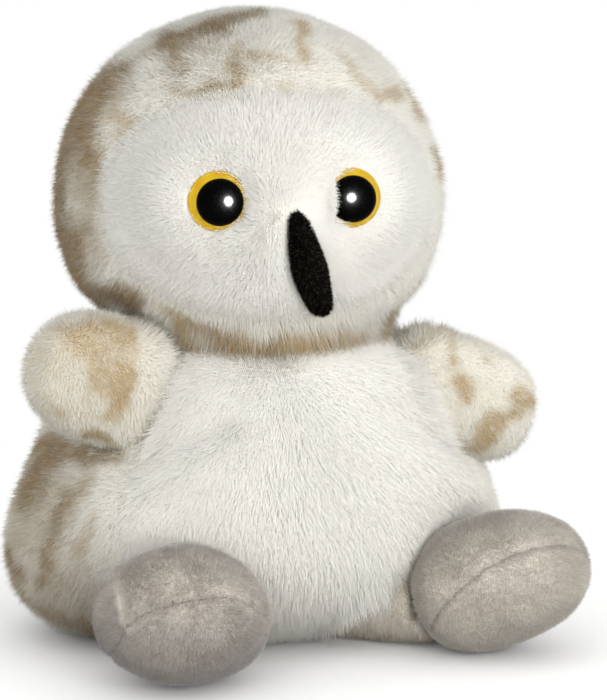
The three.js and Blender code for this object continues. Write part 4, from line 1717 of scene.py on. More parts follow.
@dataclass
class Head:
    """The ball head: a spotted cover with a white face panel, round its filling."""

    body: str = "head"
    face_half_width: float = 30 * MM
    face_top: float = 21 * MM
    face_bottom: float = 19.2 * MM
    face_fullness: float = 2.5
    chin_fullness: float = 2.15
    bridge: tuple = (0, -33 * MM, -1.5 * MM)
    crown: tuple = (0, 11 * MM, 32 * MM)
    whorl: float = 9 * MM
    swirl_size: float = 11 * MM
    lump_height: float = 0.5 * MM
    lump_size: float = 19 * MM
    seam_snap: float = 0.45 * MM
    seam_depth: float = 0.7 * MM
    seam_width: float = 2.4 * MM
    filling_inset: float = 2.2 * MM
    filling_dent: float = -8.2 * MM
    skin: Skin = field(init=False)
    local: Points = field(init=False)

    def __post_init__(self) -> None:
        """Shapes, combs and dyes the skin; some of its marks are painted shade."""
        skin = self.skin = HEAD_FORM.local_skin()
        skin.lump(self.lump_height, self.lump_size, 1)
        skin.snap(self.face_edge, self.seam_snap)
        skin.fields["edge"] = self.face_edge(skin.points)
        skin.pinch(skin.fields["edge"], self.seam_depth, self.seam_width)
        for eye in EYES:
            eye.press(skin)
        self.local = skin.points.copy()
        self.comb()
        skin.points = moved(skin.points, HEAD_FORM.place)
        dye(skin, HEAD_MARKS)
        Scatter(spacing=20 * MM, seed=9, warmth=0.3).on(skin, unseen(skin, 0.1, -0.25))
        skin.fields["blotch"] *= smoothstep(-1.5 * MM, 2.5 * MM, skin.fields["edge"])

    def face_edge(self, points: Points) -> Field:
        """Signed distance from the face panel's outline, below zero on the face."""
        x, z = points[:, 0], points[:, 2]
        tall = np.where(z > 0, self.face_top, self.face_bottom)
        power = np.where(z > 0, self.face_fullness, self.chin_fullness)
        share = (np.abs(x / self.face_half_width) ** power + np.abs(z / tall) ** power) ** (1 / power)
        away = np.hypot(x, z)
        return np.where(points[:, 1] < 0, away - away / np.maximum(share, 1e-6), FAR)

    def comb(self) -> None:
        """Sets the nap and the length of the pile, in the head's own frame."""
        p, fields = self.local, self.skin.fields
        on_face = fields["edge"] < 0
        swirl = 0.35 * np.stack([noise_at(p, self.swirl_size, seed) for seed in (21, 22, 23)], -1)
        from_bridge, from_crown = p - np.array(self.bridge), p - np.array(self.crown)
        from_bridge /= np.linalg.norm(from_bridge, axis=-1, keepdims=True) + self.whorl
        from_crown /= np.linalg.norm(from_crown, axis=-1, keepdims=True) + self.whorl
        flow = np.where(on_face[:, None], 1.1 * from_bridge, 1.3 * from_crown) + swirl
        lift = np.arctan2(p[:, 2], np.linalg.norm(p[:, :2], axis=-1))
        density = smoothstep(math.radians(-60), math.radians(-54), lift)
        collar = smoothstep(math.radians(-33), math.radians(-43), lift) * (1 - on_face)
        length = 1 + 1.0 * collar - 0.4 * smoothstep(math.radians(45), math.radians(70), lift)
        chin = on_face * smoothstep(-8 * MM, -13 * MM, p[:, 2])
        length *= 1 - 0.25 * chin * smoothstep(-5 * MM, 0, fields["edge"])
        flow *= (1 - 0.45 * collar)[:, None]
        for eye in EYES:
            away = eye.away(p)
            near = (1 - smoothstep(6.2 * MM, 10.5 * MM, away)) * eye.inner(p)
            short = (1 - smoothstep(eye.disc_radius, 11 * MM, away)) * (1 - near)
            density *= smoothstep(5.2 * MM, 5.6 * MM, away) * (1 + 2.6 * eye.fringe * near)
            length *= 1 + 1.3 * eye.fringe * near - 0.2 * short
            flow += (0.9 * eye.fringe * near)[:, None] * np.array([eye.side.value, 0, 0])
        beak_gap = Beak().gap(p)
        fields["density"] = density * smoothstep(-0.6 * MM, 0.2 * MM, beak_gap)
        fields["length"] = length * (0.45 + 0.55 * smoothstep(0, 4 * MM, beak_gap))
        fields["flow"] = flow @ np.array(HEAD_FORM.place)[:3, :3].T

    def build(self) -> None:
        """Makes the cover, the face, the eyes, the beak and the filling."""
        skin = self.skin
        face = skin.fields["edge"][skin.quads].mean(1) < 0
        none = np.zeros(len(skin.triangles), bool)
        panels = (
            (Panel("face_panel", "face_cover", "face_plush", FACE_PLUSH, FACE_PILE, 31), face, none),
            (Panel("head_panel", "head_cover", "spotted_plush", SPOTTED_PLUSH, SOFT_PILE, 32), ~face, ~none),
        )
        for panel, quads, triangles in panels:
            panel.sew(skin, quads, triangles, self.body)
        for panel, quads, triangles in panels:
            panel.cover(skin, quads, triangles, self.body)
        for eye in EYES:
            if eye.lid_width:
                marks, lidded = np.concatenate([face, face, none]), eye.lidded(skin, self.local)
                for mesh in LID_PILE.grow(f"lid_pile_{eye.side.word}", lidded, marks, 33):
                    show(mesh, FACE_PLUSH.pile(), self.body)
        self.fill()
        for eye in EYES:
            eye.build()
        Beak().build()

    def fill(self) -> None:
        """Makes the filling, which the eyes' shanks press in."""
        stuffing = HEAD_FORM.local_skin(-self.filling_inset)
        stuffing.lump(height=0.8 * MM, size=9 * MM, seed=5)
        for eye in EYES:
            eye.press(stuffing, self.filling_dent)
        stuffing.points = moved(stuffing.points, HEAD_FORM.place)
        show(stuffing.closed_mesh("head_filling"), FILLING.material(), self.body,
             ("head_stuffing",))


HEAD_MARKS = (
    Stroke(((172, 43), (190, 38), (215, 30)), 26, 1.0, 0.1),
    Stroke(((215, 28), (256, 18)), 19, 0.7, 0.15),
    Stroke(((178, 48), (186, 68)), 12, 0.65, 0.2),
    Stroke(((186, 54), (216, 46)), 20, 0.25, 0.3),
    Stroke(((118, 78), (132, 68)), 16, 0.6, 0.25),
    Stroke(((120, 76), (103, 98)), 12, 0.5, 0.2),
    Stroke(((105, 104), (92, 133)), 15, 0.85, 0.1),
    Stroke(((92, 132), (100, 165), (110, 194), (116, 214)), 17, 0.9, 0.3),
    # Broad mark down the head's left side: painted shade on the side away from the lamps, and dyed marks.
    Stroke(((104, 100), (92, 160), (94, 205), (98, 240)), 30, 0.5, 0.25),
    Stroke(((78, 238), (88, 276)), 26, 0.5, 0.2),
    Stroke(((88, 138), (72, 155), (60, 178)), 17, 0.8, 0.1),
    # Broad painted shade down the head's left side, and dyed marks.
    Stroke(((112, 84), (74, 145), (60, 195), (66, 250), (88, 298)), 50, 0.9, 0.1),
    Stroke(((70, 180), (66, 215)), 20, 0.5, 0.1),
    Stroke(((150, 55), (172, 66)), 16, 0.3, 0.2),
    Stroke(((60, 228), (80, 240)), 27, 0.95, 0.0),
    Stroke(((68, 258), (80, 276)), 16, 0.5, 0.1),
    Stroke(((95, 284), (122, 287), (139, 293)), 21, 0.9, 0.1),
    Stroke(((104, 293), (118, 304), (136, 310)), 19, 0.85, 0.2),
    Stroke(((92, 290), (98, 306)), 14, 0.6, 0.1),
    Stroke(((124, 113), (136, 122), (127, 134)), 15, 0.6, 0.75),
    Stroke(((236, 66), (237, 90)), 14, 0.85, 0.55),
    Stroke(((196, 98), (214, 89)), 14, 0.75, 0.35),
    Stroke(((214, 89), (232, 84)), 10, 0.5, 0.5),
    Stroke(((174, 84), (188, 94)), 12, 0.3, 0.5),
    Stroke(((232, 66), (241, 48)), 10, 0.4, 0.7),
    Stroke(((254, 56), (270, 58)), 13, 0.55, 0.7),
    Stroke(((270, 61), (300, 62)), 9, 0.3, 0.8),
    Stroke(((297, 26), (300, 58)), 12, 0.55, 0.75),
    Stroke(((288, 98), (294, 105)), 11, 0.75, 0.7),
    Stroke(((284, 94), (298, 98)), 16, 0.3, 0.8),
    Stroke(((309, 91), (331, 94)), 10, 0.6, 0.6),
    Stroke(((336, 58), (352, 78), (366, 91)), 10, 0.5, 0.75),
    Stroke(((370, 96), (388, 92)), 13, 0.55, 0.6),
    Stroke(((398, 90), (404, 106), (409, 115)), 16, 0.6, 0.5),
    Stroke(((432, 147), (434, 168)), 13, 0.75, 0.45),
    Stroke(((411, 286), (421, 281)), 10, 0.5, 0.6),
    Stroke(((374, 322), (386, 312)), 15, 0.65, 0.5),
    Stroke(((162, 297), (179, 306), (187, 317), (194, 330)), 13, 0.7, 0.6),
    Stroke(((172, 300), (206, 316), (226, 325), (242, 330)), 11, 1.0, 0.3),
    Stroke(((208, 315), (219, 320)), 8, 0.9, 0.1),
    Stroke(((242, 330), (262, 331), (276, 330)), 10, 0.9, 0.4),
    Stroke(((262, 328), (274, 327)), 8, 0.9, 0.1),
    # Thin marks along the collar's lower edge: painted shadow under the collar, and dye at the tips.
    Stroke(((168, 333), (190, 337), (206, 338)), 9, 0.6, 0.3),
    Stroke(((206, 338), (235, 338), (262, 338)), 5, 0.5, 0.2),
    Stroke(((276, 331), (300, 330), (318, 330)), 12, 0.5, 0.7),
    Stroke(((280, 338), (310, 338)), 9, 0.5, 0.65),
    Stroke(((322, 333), (362, 331)), 9, 0.4, 0.6),
    # Painted shade under the chin, and dyed marks.
    Stroke(((145, 316), (190, 332), (240, 334)), 26, 0.5, 0.35),
    Stroke(((240, 334), (300, 334), (365, 330)), 20, 0.55, 0.75),
    Stroke(((285, 326), (320, 323), (354, 318)), 15, 0.6, 0.7),
    Stroke(((366, 318), (392, 300)), 15, 0.6, 0.5),
)


@dataclass
class Eye:
    """A safety eye: a yellow disc on a shank, a black dome on it, and a washer behind the face."""

    side: Side
    glint: tuple
    fringe: float
    spread: float = math.radians(21)
    lift: float = math.radians(4.8)
    facing: tuple = (0, -1, 0)
    disc_radius: float = 5.5 * MM
    disc_thickness: float = 1.1 * MM
    disc_crown: float = 0.9 * MM
    dome_radius: float = 4.3 * MM
    dome_height: float = 3.2 * MM
    shank_radius: float = 1.5 * MM
    shank_length: float = 7.5 * MM
    washer_radius: float = 4.6 * MM
    washer_thickness: float = 0.8 * MM
    washer_level: float = -2.85 * MM
    seat: float = 0.3 * MM
    pocket: float = 6.1 * MM
    pocket_rim: float = 8.6 * MM
    raised_rim: float = 15 * MM
    lid_edge: float = 3.45 * MM
    lid_width: float = 1.6 * MM
    lid_slope: float = 5 * MM
    lid_reach: float = 6.5 * MM
    lid_gap: float = 0.2 * MM
    least_slice: float = 0.15
    around: int = 72
    bevel: float = 0.2 * MM
    rim_radius: float = 0.35 * MM
    seam_gap: float = 0.05 * MM
    groove_levels: tuple = (-6.4, -5.64, -4.88, -4.12, -3.36, -2.6)
    groove_share: float = 0.88
    hole_gap: float = 0.25 * MM
    tooth: float = 0.2 * MM
    tooth_step: int = 12

    @property
    def place(self) -> Matrix:
        """From the eye's own frame, with +Z out of the face, to the head's."""
        toward = Matrix.Rotation(self.side.value * self.spread, 3, "Z") @ (
            Matrix.Rotation(-self.lift, 3, "X") @ Vector((0, -1, 0)))
        half = Vector((HEAD_FORM.half_width, HEAD_FORM.half_depth, HEAD_FORM.half_height))
        scaled = Vector(t / h for t, h in zip(toward, half))
        point = toward / scaled.length
        normal = Vector(p / h / h for p, h in zip(point, half)).normalized()
        turned = Vector((0, 0, 1)).rotation_difference(Vector(self.facing)).to_matrix().to_4x4()
        return Matrix.Translation(point + normal * self.seat) @ turned

    def away(self, points: Points) -> Field:
        """Distance of points of the head's frame from the eye's axis, large behind the eye."""
        local = moved(points, self.place.inverted())
        return np.where(local[:, 2] > -20 * MM, np.hypot(local[:, 0], local[:, 1]), FAR)

    def inner(self, points: Points) -> Field:
        """From 0 to 1 toward the beak's side of the eye, for points in the head's own frame."""
        return smoothstep(0, 4 * MM, -self.side.value * (points[:, 0] - self.place.translation.x))

    def lidded(self, skin: Skin, local: Points) -> Skin:
        """The skin beside the eye, with the nap of the fluff that hangs over the dome's inner side.

        Each fibre touches the dome in passing and ends over it, at the lid's edge.

        Args:
            skin: The head's skin.
            local: Its points in the head's own frame.

        Returns:
            The same surface with pile fields of its own.
        """
        turned = HEAD_FORM.place.to_3x3()
        axis, outer = (np.array(turned @ Vector(way)) for way in (self.facing, (self.side.value, 0, 0)))
        inward = -self.side.value * (local[:, 0] - self.place.translation.x)
        beside = (local[:, 2] - self.place.translation.z) / self.dome_radius
        slice_share = np.sqrt(np.clip(1 - 0.9 * beside ** 2, self.least_slice, 1))
        wide = (self.dome_radius + self.lid_gap) * slice_share
        tall = (self.dome_height + self.lid_gap) * slice_share
        foot = self.disc_thickness + self.disc_crown + self.lid_gap
        rise = np.maximum(foot - moved(local, self.place.inverted())[:, 2], 0.2 * MM)
        across = np.maximum(inward, 1.02 * wide)
        touch = (np.arccos(np.minimum(1 / np.hypot(across / wide, rise / tall), 1))
                 - np.arctan2(rise / tall, across / wide))
        travel, climb = across - wide * np.cos(touch), rise + tall * np.sin(touch)
        aim = unit(travel[:, None] * outer + climb[:, None] * axis)
        normal = skin.normals()
        upright = (aim * normal).sum(-1)
        along = unit(aim - upright[:, None] * normal)
        lean = np.degrees(np.arccos(np.clip(upright, -1, 1))) / LID_PILE.lean
        reach = inward - self.lid_edge
        away, outermost = self.away(local), self.disc_radius + self.lid_width
        behind = smoothstep(outermost, outermost + self.lid_slope, away)
        level = 1 - smoothstep(self.disc_radius, 8 * MM, np.abs(beside) * self.dome_radius)
        near = smoothstep(5.2 * MM, self.disc_radius, away) * (1 - behind) * level
        full = reach / np.maximum(travel, 0.3 * MM) * np.hypot(travel, climb)
        return Skin(skin.points, skin.quads, skin.triangles, {
            **skin.fields, "density": near * (reach > 0), "flow": along * lean[:, None],
            "length": np.minimum(full, self.lid_reach * (1 - 0.5 * behind)) / LID_PILE.length})

    def press(self, skin: Skin, level: float = -0.15 * MM) -> None:
        """Draws the face flat behind the eye's disc, as its washer does.

        Args:
            skin: A skin in the head's frame.
            level: How far up the eye's axis the skin lies there.
        """
        local = moved(skin.points, self.place.inverted())
        away, sunk = self.away(skin.points), local[:, 2] > level
        held = np.where(sunk, 1 - smoothstep(self.pocket, self.pocket_rim, away),
                        1 - smoothstep(self.pocket, self.raised_rim, away))
        local[:, 2] += held * (level - local[:, 2])
        skin.points = moved(local, self.place)

    def rings(self, profile: list[tuple[float, float]]) -> Points:
        """A ring about the eye's axis for each radius and height of a profile."""
        angle = np.arange(self.around) / self.around * 2 * math.pi
        return np.array([[(r * math.cos(a), r * math.sin(a), z) for a in angle] for r, z in profile])

    def turned(self, name: str, profile: list[tuple[float, float]]) -> bpy.types.Mesh:
        """Turns a profile of radius and height about the eye's axis, in the owl's frame."""
        skin = Skin.from_rings(self.rings(profile))
        skin.points = moved(skin.points, HEAD_FORM.place @ self.place)
        return skin.closed_mesh(name)

    def disc_profile(self, tiny: float, disc_top: float) -> list[tuple[float, float]]:
        """The disc from the end of its grooved shank to its crown.

        Args:
            tiny: The radius at which a profile is closed.
            disc_top: Height of the crown.

        Returns:
            Radius and height of each point.
        """
        shank, disc, edge = self.shank_radius, self.disc_radius, self.rim_radius
        profile = [(tiny, -self.shank_length), (shank * 0.8, -self.shank_length),
                   (shank, -self.shank_length + 0.4 * MM)]
        for groove in self.groove_levels:
            profile += [(shank, groove * MM), (shank * self.groove_share, (groove + 0.2) * MM),
                        (shank, (groove + 0.4) * MM)]
        profile += [(shank, 0), (disc - self.bevel, 0), (disc, self.bevel)]
        profile += [(disc - edge + edge * math.cos(a), self.disc_thickness - edge + edge * math.sin(a))
                    for a in np.radians([0, 22, 45, 67, 90])]
        profile += [(disc - edge + t * (self.dome_radius - disc + edge),
                     self.disc_thickness + self.disc_crown * math.sin(t * math.pi / 2))
                    for t in np.linspace(0.15, 1, 8)]
        return profile + [(self.dome_radius * 0.6, disc_top), (tiny, disc_top)]

    def build(self) -> None:
        """Makes the disc, the dome and the washer."""
        word, tiny = self.side.word, 0.05 * MM
        disc_top = self.disc_thickness + self.disc_crown
        disc = self.turned(f"eye_{word}_ring", self.disc_profile(tiny, disc_top))
        show(disc, YELLOW_PLASTIC.material(), "head", (f"eye_disc_{word}",))
        floor, radius = disc_top + self.seam_gap, self.dome_radius
        dome = [(tiny, floor), (radius - 0.15 * MM, floor), (radius, floor + 0.15 * MM)]
        dome += [(radius * math.cos(a), floor + self.bevel + self.dome_height * math.sin(a))
                 for a in np.linspace(0, math.pi / 2 * 0.97, 20)]
        pupil = show(self.turned(f"eye_{word}_pupil", dome), BLACK_PLASTIC.material(), "head",
                     (f"eye_dome_{word}",))
        bpy.data.collections[f"pupil_{word}"].objects.link(pupil)
        self.washer(word)

    def washer(self, word: str) -> None:
        """Makes the locking washer of a side's eye, with its raised rim and gripping teeth."""
        hole, radius, top = self.shank_radius + self.hole_gap, self.washer_radius, self.washer_level
        low, recess, bevel = top - self.washer_thickness, top - 0.25 * MM, self.bevel
        profile = [(hole, low), (radius - bevel, low), (radius, low + bevel), (radius, top - bevel),
                   (radius - bevel, top), (radius * 0.72, top), (radius * 0.66, recess), (hole, recess)]
        rings = self.rings(profile)
        angle = np.arange(self.around) / self.around * 2 * math.pi
        teeth = (np.arange(self.around) % self.tooth_step < self.tooth_step / 2) * self.tooth
        for ring in (0, -1):
            rings[ring, :, 0] += teeth * np.cos(angle)
            rings[ring, :, 1] += teeth * np.sin(angle)
        points = moved(rings.reshape(-1, 3), HEAD_FORM.place @ self.place)
        faces = []
        for ring in range(len(profile)):
            this, above = ring * self.around, (ring + 1) % len(profile) * self.around
            for spot in range(self.around):
                after = (spot + 1) % self.around
                faces.append([this + spot, this + after, above + after, above + spot])
        mesh = mesh_from(f"eye_{word}_lock", points, faces, {})
        show(mesh, WASHER_PLASTIC.material(), "head", (f"eye_washer_{word}",))


EYES = (Eye(Side.LEFT, glint=(4.8, -3.0), fringe=0.2, spread=math.radians(22.1)),
        Eye(Side.RIGHT, glint=(42.9, -4.5), fringe=0.12, lid_width=0.0))


@dataclass
class Beak:
    """The black velour beak: a curved sack that follows the face down and leans to the owl's left."""

    top: float = math.radians(1)
    tip: float = math.radians(-33.8)
    turn: float = math.radians(3.4)
    lean: float = math.radians(-18.9)
    bow: float = 0.9 * MM
    width: float = 6.3 * MM
    standout: float = 6.4 * MM
    back_share: float = 0.4
    around: int = 48
    head_gap: float = 0.3 * MM
    lift_step: float = 1.004
    most_lifts: int = 24
    section_shares: tuple = ((0.0, 0.2), (0.06, 0.42), (0.2, 0.66), (0.36, 0.84), (0.5, 0.92), (0.58, 0.9),
                             (0.7, 0.8), (0.8, 0.72), (0.9, 0.64), (0.96, 0.55), (1.0, 0.34))

    @property
    def sewn(self) -> Matrix:
        """From the beak's own frame to the head's."""
        return Matrix.Rotation(self.turn, 4, "Z") @ Matrix.Rotation(self.lean, 4, "Y")

    def sizes(self, share: Field) -> Field:
        """The section's share of its full size, at shares of the length."""
        table = np.array(self.section_shares)
        return np.interp(share, table[:, 0], table[:, 1])

    def gap(self, points: Points) -> Field:
        """Distance of points of the head's frame from the beak's outline, below zero under it."""
        local = moved(points, self.sewn.inverted())
        share = (self.top - np.arctan2(local[:, 2], -local[:, 1])) / (self.top - self.tip)
        local[:, 0] += self.bow * np.sin(math.pi * np.clip(share, 0, 1))
        beside = np.abs(local[:, 0]) - self.sizes(share) * self.width / 2
        beyond = np.maximum(np.maximum(-share, share - 1), 0) * (self.top - self.tip) * HEAD_FORM.half_depth
        return np.hypot(np.maximum(beside, 0), beyond) + np.where(beyond > 0, 0, np.minimum(beside, 0))

    def build(self) -> None:
        """Makes the beak's fabric and pile."""
        along = np.concatenate([np.linspace(0, 0.1, 8), np.linspace(0.13, 0.9, 26), np.linspace(0.92, 1, 10)])
        angle = np.arange(self.around) / self.around * 2 * math.pi
        rings = []
        for share, size in zip(along, self.sizes(along)):
            lift = self.top + (self.tip - self.top) * share
            outward = np.array([0, -math.cos(lift), math.sin(lift)])
            middle = outward * (HEAD_FORM.half_depth + self.back_share * self.standout * size)
            middle[0] -= self.bow * math.sin(math.pi * share)
            ahead = np.outer(np.sin(angle), outward) * (1 - self.back_share) * self.standout * size
            rings.append(middle + ahead + np.outer(np.cos(angle), [1, 0, 0]) * self.width / 2 * size)
        skin = Skin.from_rings(np.array(rings))
        skin.smooth(np.ones(len(skin.points)), 2)
        skin.points = moved(skin.points, self.sewn)
        for _ in range(self.most_lifts):
            skin.points[HEAD_FORM.inside(skin.points, self.head_gap)] *= self.lift_step
        skin.points = moved(skin.points, HEAD_FORM.place)
        skin.plain_pile([0.1, -0.2, -1.0])
        sack = Panel("beak_sack", "beak", "black_velour", BLACK_VELOUR, BEAK_PILE, 41,
                     thickness=0.5 * MM, fill=0.8)
        sack.dress(skin, np.ones(len(skin.quads), bool), np.ones(len(skin.triangles), bool), "head")


WING_MARKS = {
    Side.RIGHT: (
        Stroke(((44, 330), (30, 350), (27, 372), (36, 400)), 30, 0.85, 0.25),
        Stroke(((40, 333), (75, 333), (105, 330), (125, 335)), 19, 0.75, 0.7),
        Stroke(((75, 345), (100, 350), (120, 350)), 26, 0.5, 0.85),
        Stroke(((45, 352), (60, 388), (80, 404)), 60, 0.16, 0.5),
        Stroke(((97, 352), (106, 372)), 24, 0.55, 0.85),
        Stroke(((100, 374), (112, 392), (118, 408)), 18, 0.55, 0.8),
        Stroke(((88, 366), (97, 382)), 12, 0.35, 0.7),
        Stroke(((122, 368), (120, 395)), 18, 0.85, 0.75),
        Stroke(((118, 395), (110, 408)), 13, 0.9, 0.7),
        Stroke(((91, 427), (104, 431), (116, 436)), 9, 0.85, 0.4),
        Stroke(((58, 406), (66, 411)), 9, 0.4, 0.4),
        # Painted shadow along the wing's lower edge, and dyed marks.
        Stroke(((60, 440), (95, 443), (125, 444)), 8, 0.6, 0.2),
    ),
    Side.LEFT: (
        Stroke(((416, 348), (437, 338)), 9, 0.4, 0.6),
        Stroke(((443, 338), (450, 358)), 11, 0.7, 0.7),
        Stroke(((457, 360), (461, 374)), 9, 0.4, 0.7),
        Stroke(((458, 377), (464, 390)), 17, 0.8, 0.7),
        Stroke(((420, 373), (413, 386)), 10, 0.6, 0.6),
        Stroke(((499, 339), (503, 343)), 9, 0.45, 0.5),
        Stroke(((535, 388), (524, 398), (512, 408)), 18, 0.8, 0.6),
        Stroke(((512, 408), (500, 416)), 12, 0.6, 0.6),
        Stroke(((496, 418), (482, 432)), 20, 0.9, 0.65),
        Stroke(((433, 425), (446, 443), (458, 460)), 10, 0.5, 0.55),
        Stroke(((456, 461), (480, 462), (505, 455)), 11, 0.55, 0.35),
    ),
}


@dataclass
class Wing:
    """A stub wing: a front and a back panel sewn round the edge, and its filling."""

    side: Side
    seam_depth: float = 0.6 * MM
    seam_width: float = 2 * MM
    seam_start: float = -2 * MM
    lump_height: float = 0.6 * MM
    lump_size: float = 13 * MM
    hidden_depth: float = 3 * MM
    hidden_reach: float = 4 * MM
    filling_inset: float = 2 * MM

    @property
    def body(self) -> str:
        """The body that the wing is."""
        return f"wing_{self.side.word}"

    def shaped(self) -> Skin:
        """The wing's skin, combed and dyed, with its distance from the seam as the field edge."""
        skin = WING_FORM.local_skin()
        skin.lump(self.lump_height, self.lump_size, 2.0 + self.side.value)
        along, across = skin.points[:, 0], skin.points[:, 1].copy()
        skin.fields["edge"] = across
        skin.pinch(np.where(along > self.seam_start, np.abs(across), FAR), self.seam_depth, self.seam_width)
        local = skin.points.copy()
        skin.points = moved(skin.points, wing_place(self.side))
        self.comb(skin, local[:, 0])
        return skin

    def comb(self, skin: Skin, along: Field) -> None:
        """Sets the nap, the length and the colour marks of the pile: dyed marks and painted shade.

        Args:
            skin: The wing's skin.
            along: How far each point lies towards the tip.
        """
        fields, toward_tip = skin.fields, np.array(wing_place(self.side))[:3, 0]
        fields["flow"] = 0.35 * toward_tip + np.array([0, 0, -1.0]) + 0.25 * skin.normals()
        hidden = BODY_FORM.inside(skin.points, -self.hidden_depth) & (along < self.hidden_reach)
        fields["density"] = (~hidden).astype(float) * smoothstep(-9 * MM, -6 * MM, along)
        fields["length"] = 1 + 0.5 * smoothstep(4 * MM, -4 * MM, along)
        dye(skin, WING_MARKS[self.side])
        Scatter(spacing=12 * MM, seed=12 + self.side.value, warmth=0.5).on(skin, unseen(skin, 0.1, -0.2))

    def build(self) -> None:
        """Makes the wing's panels, pile and filling."""
        skin, body = self.shaped(), self.body
        front, front_end = (skin.fields["edge"][faces].mean(1) * self.side.value < 0
                            for faces in (skin.quads, skin.triangles))
        first_seed = 50 + 2 * self.side.value
        for part, seed, quads, triangles in (
            ("front", first_seed + 1, front, front_end), ("back", first_seed, ~front, ~front_end),
        ):
            panel = Panel(f"{body}_{part}_panel", f"{body}_{part}_cover", "wing_plush", WING_PLUSH,
                          WING_PILE, seed)
            panel.dress(skin, quads, triangles, body)
        stuffing = WING_FORM.local_skin(-self.filling_inset)
        stuffing.lump(self.lump_height, size=6 * MM, seed=7)
        stuffing.points = moved(stuffing.points, wing_place(self.side))
        show(stuffing.closed_mesh(f"{body}_filling"), FILLING.material(), body,
             (f"{body}_stuffing",))


@dataclass
class Foot:
    """A fat grey foot of short velour, sewn along its middle with a short cross seam at the heel.

    The rows of the seam are across and height, those of the heel along and height, and those of the tuck,
    a fold of the right foot's upper panel, along, across and height. All are in the pattern's millimetres.
    """

    side: Side
    seam_depth: float = 0.38 * MM
    seam_width: float = 0.9 * MM
    seam_snap: float = 0.2 * MM
    seam_rows: tuple = ((-14.5, -9.5), (-8, -6), (-5.9, -3.9), (-4.3, -1.3), (-1.1, 1.4), (4.1, 3.2),
                        (7, 4.2), (10.4, 4.6), (14, 4.2))
    heel_drop: tuple = ((-8, -10), (-2.5, -5.8), (2.6, -3), (5.3, -1.8), (8.4, -0.6), (13, 0))
    heel: float = -8 * MM
    heel_seam: float = -7 * MM
    tuck: tuple = ((11.4, -9.4, 7.0), (16, -7.6, 5.4), (19.4, -5.8, 3.3), (20.5, -4.3, -1.3))
    tuck_height: float = 1.3 * MM
    tuck_width: float = 1.1 * MM
    lump_height: float = 0.45 * MM
    lump_size: float = 12 * MM
    least_height: float = 0.4 * MM
    filling_inset: float = 2 * MM
    skin: Skin = field(init=False)
    local: Points = field(init=False)
    seam_gap: Field = field(init=False)
    ridge: Field = field(init=False)

    @property
    def body(self) -> str:
        """The body that the foot is."""
        return f"foot_{self.side.word}"

    @property
    def axes(self) -> Points:
        """The foot's own axes, as columns."""
        return np.array(foot_place(self.side))[:3, :3]

    def inner(self, points: Points) -> Field:
        """How far points of the foot's frame lie towards the other foot."""
        return points[:, 1] * -np.sign(self.axes[0, 1] * self.side.value)

    def long_seam(self, points: Points) -> Field:
        """Signed height above the long seam, which is high at the toe and inside, low at the heel."""
        rows, drop = np.array(self.seam_rows) * MM, np.array(self.heel_drop) * MM
        return points[:, 2] - (np.interp(self.inner(points), rows[:, 0], rows[:, 1])
                               + np.interp(points[:, 0], drop[:, 0], drop[:, 1]))

    def __post_init__(self) -> None:
        """Shapes and combs the skin."""
        skin = self.skin = FOOT_FORM.local_skin()
        skin.lump(self.lump_height, self.lump_size, 6.0 + self.side.value)
        skin.snap(self.long_seam, self.seam_snap, skin.points[:, 0] > self.heel)
        skin.fields["edge"] = self.long_seam(skin.points)
        self.seam_gap = np.where(skin.points[:, 0] > self.heel_seam, np.abs(skin.fields["edge"]), FAR)
        skin.pinch(self.seam_gap, self.seam_depth, self.seam_width)
        self.ridge = np.zeros(len(skin.points))
        if self.side is Side.RIGHT:
            inner = np.stack([skin.points[:, 0], self.inner(skin.points), skin.points[:, 2]], -1)
            from_tuck = path_gap(inner, [np.array(spot) * MM for spot in self.tuck])[0]
            self.ridge = np.exp(-(from_tuck / self.tuck_width) ** 2)
        skin.swell(self.tuck_height * self.ridge)
        self.local = skin.points.copy()
        skin.points = moved(skin.points, foot_place(self.side))
        skin.rest_on(self.least_height)
        self.comb()

    def comb(self) -> None:
        """Sets the nap, the length and the colour of the velour, with its seam, painted shade and painted
        light.
        """
        fields, local, gap = self.skin.fields, self.local, self.seam_gap
        swirl = np.stack([noise_at(local, 7 * MM, seed) for seed in (1, 2, 3)], -1)
        fields["flow"] = self.axes[:, 0] * 0.6 + np.array([0, 0, -0.5]) + 0.6 * swirl
        fields["density"] = smoothstep(-10 * MM, -6 * MM, local[:, 0]) * (
            0.9 + 0.1 * smoothstep(0.1 * MM, 0.7 * MM, gap))
        beside_seam = 0.65 + 0.35 * smoothstep(0, 1 * MM, gap)
        fields["length"] = (1 + 0.25 * noise_at(local, 5 * MM, 4)) * beside_seam
        broken = 0.65 + 0.5 * noise_at(local, 3 * MM, 8)
        seam = 0.5 * broken * np.exp(-(gap / (0.5 * MM)) ** 2)
        # Painted shade over the right foot's lower part, in the seam's colour.
        under = smoothstep(6 * MM, -4 * MM, local[:, 2]) if self.side is Side.RIGHT else 0
        fields["blotch"] = np.maximum(seam, 0.5 * under)
        # Painted light: the tuck's fold and the whole left foot are lightened.
        fields["warmth"] = 0.6 * self.ridge + (0.35 if self.side is Side.LEFT else 0)

    def build(self) -> None:
        """Makes the foot's panels, pile and filling."""
        skin, body = self.skin, self.body
        upper, upper_end = (skin.fields["edge"][faces].mean(1) > 0 for faces in (skin.quads, skin.triangles))
        first_seed = 60 + 2 * self.side.value
        for part, seed, quads, triangles in (
            ("upper", first_seed + 1, upper, upper_end), ("lower", first_seed, ~upper, ~upper_end),
        ):
            panel = Panel(f"{body}_{part}_panel", f"{body}_{part}_cover", "grey_velour", GREY_VELOUR,
                          FOOT_PILE, seed)
            panel.dress(skin, quads, triangles, body)
        stuffing = FOOT_FORM.local_skin(-self.filling_inset)
        stuffing.lump(height=0.6 * MM, size=7 * MM, seed=7)
        stuffing.points = moved(stuffing.points, foot_place(self.side))
        show(stuffing.closed_mesh(f"{body}_filling"), FILLING.material(), body,
             (f"{body}_stuffing",))


